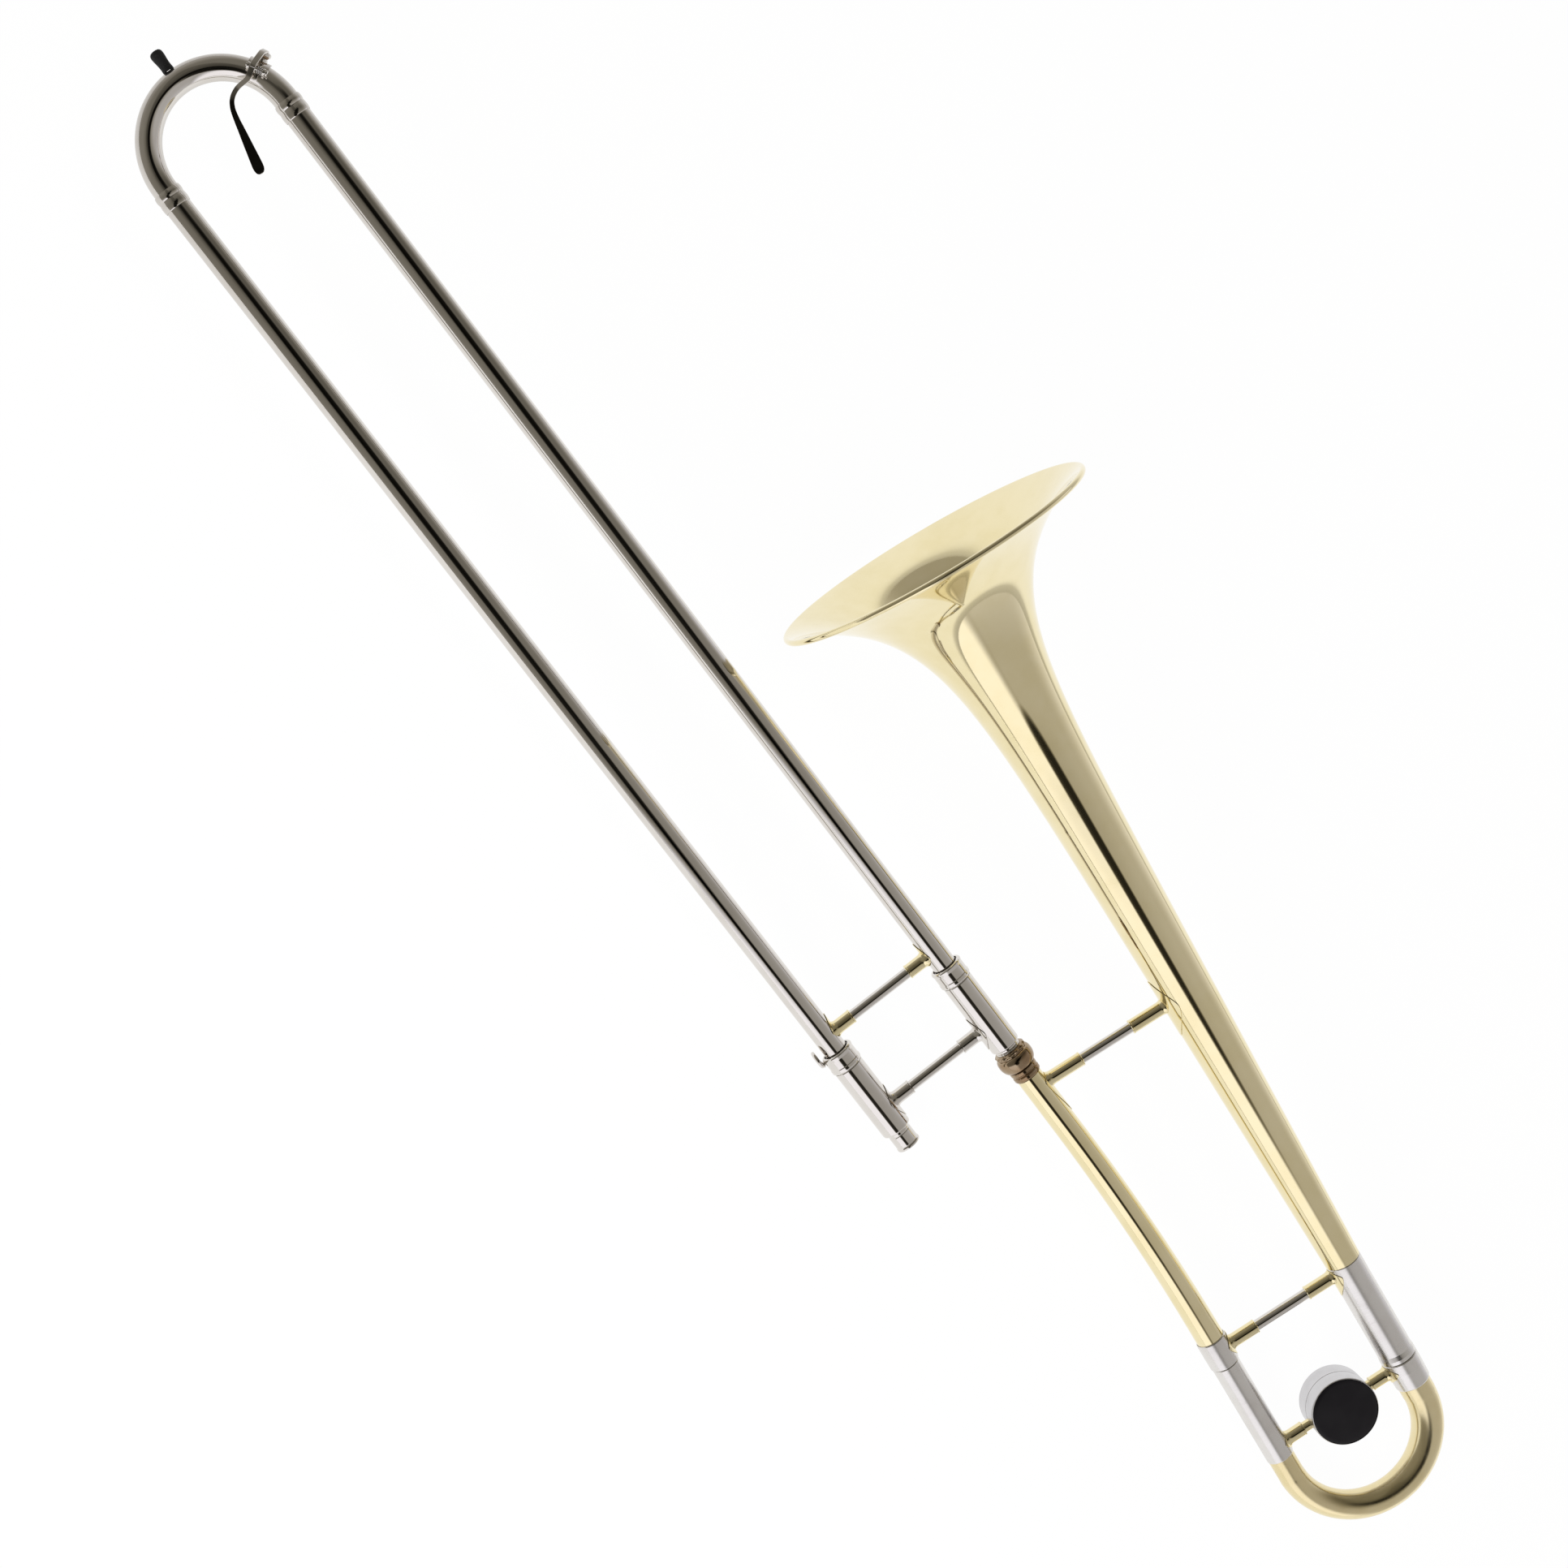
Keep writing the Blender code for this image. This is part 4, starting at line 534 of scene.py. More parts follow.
    @staticmethod
    def eased(stations: Sequence[Station], steps: int = 4) -> list[Station]:
        """More stations between the given ones, on a curve through them.

        Args:
            stations: (middle, half width, heading) of each place.
            steps: how many parts each span is cut in.

        Returns:
            The denser run of stations, with the headings of the curve.
        """
        run = []
        last = len(stations) - 1
        for i in range(last):
            four = [stations[max(i - 1, 0)], *stations[i:i + 2], stations[min(i + 2, last)]]
            for step in range(steps):
                t = step / steps
                weights = (-t / 2 + t * t - t ** 3 / 2, 1 - 2.5 * t * t + 1.5 * t ** 3,
                           t / 2 + 2 * t * t - 1.5 * t ** 3, (t ** 3 - t * t) / 2)
                middle = sum((w * place[0] for w, place in zip(weights, four)), Vector((0, 0, 0)))
                run.append((middle, four[1][1] * (1 - t) + four[2][1] * t))
        run.append(stations[-1][:2])
        turned = []
        for i, (middle, width) in enumerate(run):
            ahead = run[min(i + 1, len(run) - 1)][0] - run[max(i - 1, 0)][0]
            turned.append((middle, width, math.atan2(ahead.y, ahead.x)))
        return turned

    @classmethod
    def join(cls, first: Object, *others: Object) -> Object:
        """Makes one piece of several."""
        cls.take(first)
        for other in others:
            other.select_set(True)
        bpy.ops.object.join()
        return first

    @classmethod
    def move(cls, obj: Object, place: Matrix) -> Object:
        """Carries a piece into place and leaves its object at the origin."""
        cls.take(obj)
        obj.matrix_world = place @ obj.matrix_world
        bpy.ops.object.transform_apply(location=True, rotation=True, scale=True)
        return obj

    @classmethod
    def fit(
        cls, obj: Object, node: str, finish: Finish, place: Matrix, grain: Grain,
        working: Optional[Matrix] = None,
    ) -> None:
        """Puts a finished piece where its node is.

        Args:
            obj: the piece, in its own working frame.
            node: the node that it stands for.
            finish: its finish.
            place: where its working frame is.
            grain: how its lines run.
            working: the frame that the grain follows, if it isn't place.
        """
        cls.apply(cls.move(obj, place), "WEIGHTED_NORMAL", keep_sharp=True)
        obj.name = f"{node}.finished"
        obj.data.name = obj.name
        obj.data.materials.clear()
        obj.data.materials.append(finish.dress(working or place, grain))
        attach(obj, BODY_OF[node])
        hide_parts(node)
        LOG.info("%s: %d faces, rides on %s", obj.name, len(obj.data.polygons), BODY_OF[node])


def tube_outline(start: float, end: float, outer: float, inner: float) -> Points:
    """The outline of a plain tube, from its outer and inner radii."""
    return [(start, inner), (start, outer), (end, outer), (end, inner)]


def rod_outline(start: float, end: float, radius: float) -> Points:
    """The open outline of a plain rod."""
    return [(start, 0.0), (start, radius), (end, radius), (end, 0.0)]


def rim(at: float, radius: float, *steps: tuple[float, float]) -> Points:
    """Outline points near one place, as tenths of a millimetre (along, outwards) from it."""
    return [(at + along * TENTH, radius + out * TENTH) for along, out in steps]


def crown(at: float, radius: float, *steps: tuple[float, float]) -> Points:
    """Outline points near one place, as (tenths of a millimetre along, share of the radius)."""
    return [(at + along * TENTH, radius * share) for along, share in steps]


def shifted(place: Matrix, x: float, y: float = 0.0) -> Matrix:
    """A frame moved along its own X and Y."""
    return place @ Matrix.Translation((x, y, 0))


def flat_seat(diameter: float) -> Seat:
    """The seat on a tube that is as wide all along."""
    return lambda along: diameter / 2


def arc(
    centre: tuple[float, float], radius: float, start: float, end: float, steps: int
) -> list[tuple[Vector, float]]:
    """Points and headings round a centre in the XY plane, from one angle to another."""
    turn = math.pi / 2 if end > start else -math.pi / 2
    angles = [start + (end - start) * i / steps for i in range(steps + 1)]
    return [
        (Vector((centre[0] + radius * math.cos(a), centre[1] + radius * math.sin(a), 0)), a + turn)
        for a in angles
    ]


@dataclass
class Brace:
    """A rod between two tubes, held in a socket with a pointed foot at each end."""

    rod_radius: float = 0.0034
    socket_wall: float = 0.0009
    bore_depth: float = 0.010
    root_depth: float = 0.0022
    foot_thickness: float = 0.00035
    foot_angle: float = math.radians(52)
    foot_columns: int = 30
    foot_rows: int = 16
    foot_margin: float = 0.01
    wrap_rows: int = 24
    wrap_faces: int = 240
    grid_height: float = 0.06
    grid_aside: float = 5.0

    def socket(self, seat: Seat, length: float, span: Span, lean: float) -> Object:
        """Models a socket on the +Y side of a tube that runs along X.

        Args:
            seat: the tube's radius at a place along it.
            length: how far the socket stands out of the tube.
            span: how far the foot reaches along the tube, to each side.
            lean: how far the tube is turned from X.

        Returns:
            The socket with its foot.
        """
        bore = self.rod_radius + SOLDER_GAP
        outer, face = bore + self.socket_wall, seat(0.0)
        base, reach = face - self.root_depth, face + length
        stem = Bench.turn(
            [(base, bore)] + rim(base, outer, (0, 12))
            + rim(face, outer, (4, 8), (9, 4.5), (18, 1), (30, 0))
            + rim(reach, outer, (-13, 0), (-11, 2), (-3, 2), (0, -1))
            + [(reach, bore), (reach - self.bore_depth, bore)], 56)
        foot = Bench.move(self.foot(seat, span), Matrix.Rotation(lean, 4, "Z"))
        return Bench.smooth(Bench.join(foot, Bench.move(stem, TO_Y)), 42)

    def foot(self, seat: Seat, span: Span) -> Object:
        """Models the pointed oval plate that wraps the tube, from a grid pressed onto it.

        Args:
            seat: the tube's radius at a place along it.
            span: how far the foot reaches along the tube, to each side.

        Returns:
            The plate.
        """
        low, high = span
        reach = high - low + 2 * self.foot_margin
        rows = range(self.wrap_rows + 1)
        stations = [low - self.foot_margin + reach * i / self.wrap_rows for i in rows]
        target = Bench.turn(
            [(at, seat(at) + SOLDER_GAP) for at in stations], self.wrap_faces, closed=False)
        Bench.clear()
        width = seat(0.0) * math.sin(self.foot_angle)
        bpy.ops.mesh.primitive_grid_add(
            x_subdivisions=self.foot_columns, y_subdivisions=self.foot_rows, size=2,
            location=(0, self.grid_height, 0), rotation=(-math.pi / 2, 0, 0),
        )
        plate = bpy.context.object
        bpy.ops.object.transform_apply(location=True, rotation=True, scale=True)
        bpy.ops.object.mode_set(mode="EDIT")
        for i in range(self.foot_columns + 1):
            share = -1 + 2 * i / self.foot_columns
            self._select_column(plate, share)
            along = share * high if share > 0 else -share * low
            half = width * (0.10 + 0.90 * (1 - abs(share) ** 1.7) ** 0.9)
            bpy.ops.transform.resize(
                value=(1, 1, half), center_override=(share, self.grid_height, 0))
            bpy.ops.transform.translate(value=(along - share + self.grid_aside, 0, 0))
        bpy.ops.mesh.select_all(action="SELECT")
        bpy.ops.transform.translate(value=(-self.grid_aside, 0, 0))
        Bench.apply(
            plate, "SHRINKWRAP", target=target, wrap_method="PROJECT", use_project_y=True,
            use_negative_direction=True, use_positive_direction=False)
        bpy.data.objects.remove(target, do_unlink=True)
        Bench.thicken(plate, self.foot_thickness, 1.0)
        return Bench.round_edges(plate, 0.0003, 3, 50)

    @staticmethod
    def _select_column(plate: Object, along: float) -> None:
        """Selects the points of a grid in edit mode that stand at one place along X."""
        mesh = bmesh.from_edit_mesh(plate.data)
        for vert in mesh.verts:
            vert.select = abs(vert.co.x - along) < 1e-4
        mesh.select_flush(True)
        bmesh.update_edit_mesh(plate.data)

    def build(
        self, name: str, place: Matrix, low: End, high: End, length: float,
        socket_finish: Finish, rod_finish: Finish,
    ) -> None:
        """Builds a brace across Y.

        Args:
            name: the brace's name in its nodes.
            place: the working frame, with the brace at its X 0.
            low: (side, y of the tube, seat, span, lean) of the tube at the lower Y.
            high: the same for the other tube.
            length: how far each socket stands out.
            socket_finish: the sockets' finish.
            rod_finish: the rod's finish.
        """
        ends = []
        for (side, y, seat, span, lean), facing in ((low, 1), (high, -1)):
            flip = Matrix.Rotation(math.pi, 4, "X") if facing < 0 else Matrix.Identity(4)
            Bench.fit(self.socket(seat, length, span, lean), f"{name}_socket_{side}",
                      socket_finish, shifted(place, 0, y) @ flip, Grain.CLOUDY, place)
            ends.append(y + facing * (seat(0.0) + length - self.bore_depth + SEAT_GAP))
        rod = Bench.turn(rod_outline(*ends, self.rod_radius), 56, 0.0003, closed=False)
        Bench.fit(rod, f"{name}_rod", rod_finish, place @ TO_Y, Grain.ALONG)


@dataclass
class OuterSlide:
    """The crook with its two tubes, ferrules, bumper and hand brace."""

    places: Places
    stocking_od: float = 0.0136
    tube_wall: float = 0.0006
    tube_end: float = 0.641
    crook_od: float = 0.0147
    crook_wall: float = 0.0005
    crook_tangent: float = 0.0055
    ferrule_start: float = 0.0005
    ferrule_length: float = 0.0105
    ferrule_wall: float = 0.0004
    end_ring_length: float = 0.010
    end_ring_wall: float = 0.0004
    lug_width: float = 0.0024
    lug_height: float = 0.0004
    brace_x: float = 0.6115
    brace_foot: Span = (-0.012, 0.0047)
    brace_socket: float = 0.013
    bumper_radius: float = 0.0038
    bumper_length: float = 0.0125
    stud_radius: float = 0.0014
    stud_length: float = 0.0065

    @property
    def half(self) -> float:
        """Half the distance between the tubes."""
        return SLIDE_SPACING / 2

    @property
    def tube_od(self) -> float:
        """The outside width of the tubes."""
        return self.stocking_od + 2 * RUN_GAP + 2 * self.tube_wall

    def build(self) -> None:
        """Builds and dresses the outer slide."""
        self.build_crook()
        for side, y in (("bell_side", self.half), ("mouthpiece_side", -self.half)):
            self.build_tube(side, self.places.tube(y))
        self.build_bumper()
        seat = flat_seat(self.tube_od)
        Brace().build(
            "outer_brace", shifted(self.places.slide, self.brace_x),
            ("mouthpiece_side", -self.half, seat, self.brace_foot, 0.0),
            ("bell_side", self.half, seat, self.brace_foot, 0.0),
            self.brace_socket, FINISH.brass, FINISH.nickel)

    def build_crook(self) -> None:
        """The bend at the slide's far end, with its short straight ends."""
        bend = arc((0, 0), self.half, math.pi / 2, math.pi * 3 / 2, 72)
        bend.insert(0, (Vector((self.crook_tangent, self.half, 0)), math.pi))
        bend.append((Vector((self.crook_tangent, -self.half, 0)), math.pi * 2))
        crook = Bench.bend(
            [(point, self.crook_od / 2, heading) for point, heading in bend], self.crook_wall)
        Bench.fit(crook, "crook_bow", FINISH.nickel, self.places.slide, Grain.CLOUDY)

    def build_tube(self, side: str, place: Matrix) -> None:
        """One tube with the ferrule at its crook end and the ring at its open end."""
        start, end = self.crook_tangent + SEAT_GAP, self.tube_end
        inner = self.stocking_od / 2 + RUN_GAP
        tube = Bench.turn(tube_outline(start, end, self.tube_od / 2, inner), 96, 0.00015)
        Bench.fit(tube, f"outer_tube_{side}", FINISH.nickel, place, Grain.ALONG)
        bore = self.tube_od / 2 + SOLDER_GAP
        outer = bore + self.ferrule_wall - 0.0002
        first, last = self.ferrule_start, self.ferrule_start + self.ferrule_length
        outline = [(first, bore)]
        for begin, stop, height in (
            (first, first + 0.0045, 0.00045), (first + 0.0048, last, 0.00035)
        ):
            for share in (i / 8 for i in range(9)):
                rise = height * math.sin(math.pi * (0.08 + 0.84 * share))
                outline.append((begin + (stop - begin) * share, outer + rise))
        ferrule = Bench.turn(outline + [(last, bore)], 96, 0.00005)
        Bench.fit(ferrule, f"crook_ferrule_{side}", FINISH.nickel, place, Grain.AROUND)
        outer = bore + self.end_ring_wall
        ring = Bench.turn(
            tube_outline(end - self.end_ring_length, end - SEAT_GAP, outer, bore), 72, 0.00012)
        if side == "mouthpiece_side":
            ring = Bench.join(ring, self.lug(outer))
        Bench.fit(ring, f"outer_end_ring_{side}", FINISH.nickel, place, Grain.AROUND)

    def lug(self, radius: float) -> Object:
        """The low key on the end ring that the slide lock catches."""
        centre = self.tube_end - self.end_ring_length * 0.5
        length, width = self.end_ring_length * 0.3, self.lug_width / 2
        key = Bench.plate(
            [(centre + length * x, width * y) for x, y in ((-1, -1), (1, -1), (1, 1), (-1, 1))],
            Vector((0, 0, self.lug_height)), 0.0001)
        return Bench.move(key, Matrix.Translation((0, 0, radius - 0.0001)))

    def build_bumper(self) -> None:
        """The rubber tip, slightly waisted, on its stud."""
        surface = self.half + self.crook_od / 2
        base, tip, wide = surface + SOLDER_GAP, surface + self.bumper_length, self.bumper_radius
        hole, depth = self.stud_radius + SOLDER_GAP, base + self.stud_length
        bumper = Bench.turn(
            crown(tip, wide, (0, 0), (0, 0.45), (-3, 0.70), (-9, 0.88), (-18, 0.98), (-30, 1.0),
                  (-46, 0.97), (-62, 0.91))
            + crown(base, wide, (40, 0.85), (22, 0.84), (10, 0.87), (0, 0.88))
            + [(base, hole), (depth, hole), (depth, 0)], 64, closed=False)
        place = self.places.slide @ TO_MINUS_X
        Bench.fit(bumper, "crook_bumper", FINISH.rubber, place, Grain.CLOUDY)


@dataclass
class WaterKey:
    """The sprung valve on the crook: nipple, saddle, pin, spring, lever and cork."""

    places: Places
    half: float
    tube: float
    angle: float = math.radians(118.5)
    nipple_radius: float = 0.0030
    nipple_bore: float = 0.0015
    nipple_height: float = 0.0030
    cork_thickness: float = 0.0020
    cork_radius: float = 0.0028
    cup_wall: float = 0.0007
    cup_depth: float = 0.0022
    pivot: tuple[float, float] = (0.0020, 0.0113)
    pin_radius: float = 0.0009
    pin_length: float = 0.0116
    hinge_radius: float = 0.0020
    hinge_start: float = -0.0038
    hinge_length: float = 0.0036
    ear_spacing: float = 0.0090
    ear_thickness: float = 0.0013
    lever_thickness: float = 0.0012
    saddle_thickness: float = 0.0008
    saddle_width: float = 0.0118
    saddle_span: Span = (62, 125)
    tongue_span: Span = (121, 176)
    tongue_share: float = 0.36
    wire_radius: float = 0.00026
    coil_radius: float = 0.0016
    coil_start: float = 0.0003
    coil_turns: int = 3
    coil_pitch: float = 0.0010

    @property
    def place(self) -> Matrix:
        """The key's working frame: X along the bend, Y outwards and Z facing the viewer."""
        turn = Matrix.Rotation(self.angle - math.pi / 2, 4, "Z")
        return shifted(self.places.slide, self.half * math.cos(self.angle),
                       self.half * math.sin(self.angle)) @ turn

    @property
    def hinge_middle(self) -> float:
        """The middle of the lever's hinge barrel along the pin."""
        return self.hinge_start + self.hinge_length / 2

    def build(self) -> None:
        """Builds and dresses the water key."""
        place = self.place
        upright, at_pivot = place @ TO_Y, place @ Matrix.Translation((0, *self.pivot))
        mouth, wide = self.tube + self.nipple_height, self.nipple_radius
        nipple = Bench.turn(
            [(self.tube - 0.0006, self.nipple_bore)]
            + rim(self.tube, wide, (-6, 3), (2, 1), (8, 0)) + rim(mouth, wide, (-12, 0), (0, -7))
            + [(mouth, self.nipple_bore)], 56, 0.0001)
        Bench.fit(nipple, "water_key_nipple", FINISH.nickel, upright, Grain.CLOUDY)
        Bench.fit(self.saddle(), "water_key_saddle", FINISH.nickel, place, Grain.CLOUDY)
        Bench.fit(self.pin(), "water_key_pin", FINISH.nickel, at_pivot, Grain.AROUND)
        Bench.fit(self.spring(), "water_key_spring", FINISH.steel, at_pivot, Grain.CLOUDY)
        face = mouth + SOLDER_GAP
        back = face + self.cork_thickness
        cork = Bench.turn(rod_outline(face, back, self.cork_radius), 48, 0.0002, closed=False)
        Bench.fit(cork, "water_key_cork", FINISH.cork, upright, Grain.CLOUDY)
        lever = self.lever(back + SOLDER_GAP)
        Bench.fit(lever, "water_key_lever", FINISH.nickel, place, Grain.CLOUDY)

    def pin(self) -> Object:
        """The hinge pin with its slotted head."""
        end, thin = self.pin_length / 2, self.pin_radius
        return Bench.turn(
            [(-end, 0), (-end, thin), (end - 0.0002, thin)]
            + crown(end, thin * 1.9, (-2, 1), (6, 1), (9, 0.6), (9, 0)), 40, 0.0001, closed=False)

    def saddle(self) -> Object:
        """A strap bent over the tube, with two ears for the pin."""
        middle = self.tube + SEAT_GAP + self.saddle_thickness / 2
        pieces = []
        for (first, last), width in (
            (self.saddle_span, self.saddle_width),
            (self.tongue_span, self.saddle_width * self.tongue_share),
        ):
            shares = (-1 / 2, -1 / 6, 1 / 6, 1 / 2)
            strap = Bench.draw([(width * share, middle) for share in shares])
            bpy.ops.mesh.spin(
                steps=14, angle=math.radians(last - first), center=(0, 0, 0), axis=(1, 0, 0))
            Bench.move(Bench.seal(strap), Matrix.Rotation(math.radians(first), 4, "X"))
            Bench.thicken(strap, self.saddle_thickness, 0.0)
            pieces.append(Bench.round_edges(strap, 0.00015))
        pieces += [self.ear(side * self.ear_spacing / 2) for side in (-1, 1)]
        return Bench.smooth(Bench.join(*pieces))

    def ear(self, x: float) -> Object:
        """One ear: a rounded plate that stands on the strap and carries the pin's end."""
        y, z = self.pivot
        left = x - self.ear_thickness / 2
        foot = self.tube + SEAT_GAP + self.saddle_thickness * 0.3
        outline = [(left, y + 0.0026, foot - 0.0008)]
        for angle in (math.radians(-20 + 220 * i / 14) for i in range(15)):
            outline.append((left, y + self.hinge_radius * math.cos(angle),
                            z + self.hinge_radius * math.sin(angle)))
        outline.append((left, y - 0.0030, foot))
        return Bench.plate(outline, Vector((self.ear_thickness, 0, 0)), 0.00018, 60)

    def spring(self) -> Object:
        """The coil round the pin, one wire whose last leg lies towards the saddle."""
        steps = 24
        points = []
        for i in range(self.coil_turns * steps + 1):
            angle = 2 * math.pi * i / steps + math.pi
            points.append(Vector((
                self.coil_start + self.coil_pitch * i / steps,
                self.coil_radius * math.cos(angle), self.coil_radius * math.sin(angle))))
        leg = Vector((0.0001, -0.0004, -0.0024))
        points += [points[-1] + leg * share for share in (0.3, 0.65, 1.0)]
        curve = bpy.data.curves.new("coil", "CURVE")
        curve.dimensions = "3D"
        curve.bevel_depth = self.wire_radius
        curve.bevel_resolution = 4
        curve.use_fill_caps = True
        spline = curve.splines.new("POLY")
        spline.points.add(len(points) - 1)
        for point, spot in zip(spline.points, points):
            point.co = (*spot, 1.0)
        obj = bpy.data.objects.new("coil", curve)
        bpy.context.scene.collection.objects.link(obj)
        Bench.take(obj)
        bpy.ops.object.convert(target="MESH")
        obj = bpy.context.object
        bpy.ops.object.mode_set(mode="EDIT")
        bpy.ops.mesh.select_all(action="SELECT")
        bpy.ops.mesh.remove_doubles(threshold=MERGE_REACH)
        return Bench.smooth(Bench.seal(obj), 60)

    def lever(self, floor: float) -> Object:
        """Cup, arm, hinge barrel and thumb piece."""
        wide = self.cork_radius + SOLDER_GAP + self.cup_wall
        top, lip, inside = floor + self.cup_wall, floor - self.cup_depth * 0.6, wide - self.cup_wall
        cup = Bench.turn(
            crown(top, wide, (7, 0), (6, 0.35), (3, 0.75), (-1, 0.95), (-6, 1))
            + [(lip, wide), (lip, inside), (floor, inside), (floor, 0)], 64, 0.0001, closed=False)
        y, z = self.pivot
        middle, reach = self.hinge_middle, top + self.lever_thickness * 0.5
        arm = Bench.strap([(Vector(spot), half, -math.pi / 2) for spot, half in (
            ((0, reach, -0.0022), 0.0015), ((0, reach, 0.0004), 0.0018),
            ((0, reach, 0.0032), 0.0018), ((0, reach - 0.0005, 0.0060), 0.0017),
            ((middle * 0.4, reach - 0.0022, 0.0092), 0.0016),
            ((middle * 0.75, y + 0.0052, z + 0.0005), 0.0016),
            ((middle, y + 0.0022, z + 0.0014), 0.0016),
            ((middle, y - 0.0004, z + self.hinge_radius - 0.0004), 0.0016),
        )], self.lever_thickness, 0.0003, 2)
        barrel = Bench.turn(tube_outline(
            self.hinge_start, self.hinge_start + self.hinge_length, self.hinge_radius,
            self.pin_radius + RUN_GAP), 48, 0.00015)
        Bench.move(cup, TO_Y)
        Bench.move(barrel, Matrix.Translation((0, y, z)))
        return Bench.smooth(Bench.join(cup, arm, barrel, self.thumb_piece()), 45)

    def thumb_piece(self) -> Object:
        """The arm from the hinge over the bend's inside, widening to a rounded thumb piece."""
        outward = Vector((math.cos(self.angle), math.sin(self.angle), 0))
        along = Vector((outward.y, -outward.x, 0))
        y, z = self.pivot
        middle, top = self.hinge_middle, z + self.hinge_radius - self.lever_thickness / 2
        stations = [(Vector((middle, y + 0.0002, top)), 0.0016, 0.0),
                    (Vector((middle, y - 0.0030, z + 0.0012)), 0.0015, 0.0),
                    (Vector((middle, y - 0.0070, z + 0.0006)), 0.0014, 0.0)]
        # The rest of the route in the slide's frame: x, y, z and half width, in millimetres.
        for px, py, pz, width in (
            (-19.0, 24.7, 9.4, 1.3), (-17.7, 20.7, 9.3, 1.3), (-15.5, 17.5, 9.1, 1.3),
            (-12.6, 15.4, 8.8, 1.4), (-9.5, 14.1, 8.5, 1.5), (-5.0, 12.8, 8.0, 1.7),
            (0.0, 11.6, 7.4, 2.0), (8.0, 9.6, 6.6, 2.5), (15.0, 7.9, 6.0, 2.9),
            (19.0, 6.9, 5.6, 3.1), (21.0, 6.4, 5.4, 3.0), (22.5, 6.0, 5.3, 2.5),
            (23.4, 5.8, 5.2, 1.8), (23.9, 5.7, 5.2, 0.8),
        ):
            offset = Vector((px, py, 0)) * MILLIMETRE - outward * self.half
            spot = Vector((offset.dot(along), offset.dot(outward), pz * MILLIMETRE))
            stations.append((spot, width * MILLIMETRE, 0.0))
        return Bench.smooth(Bench.strap(Bench.eased(stations), self.lever_thickness, 0.0004))


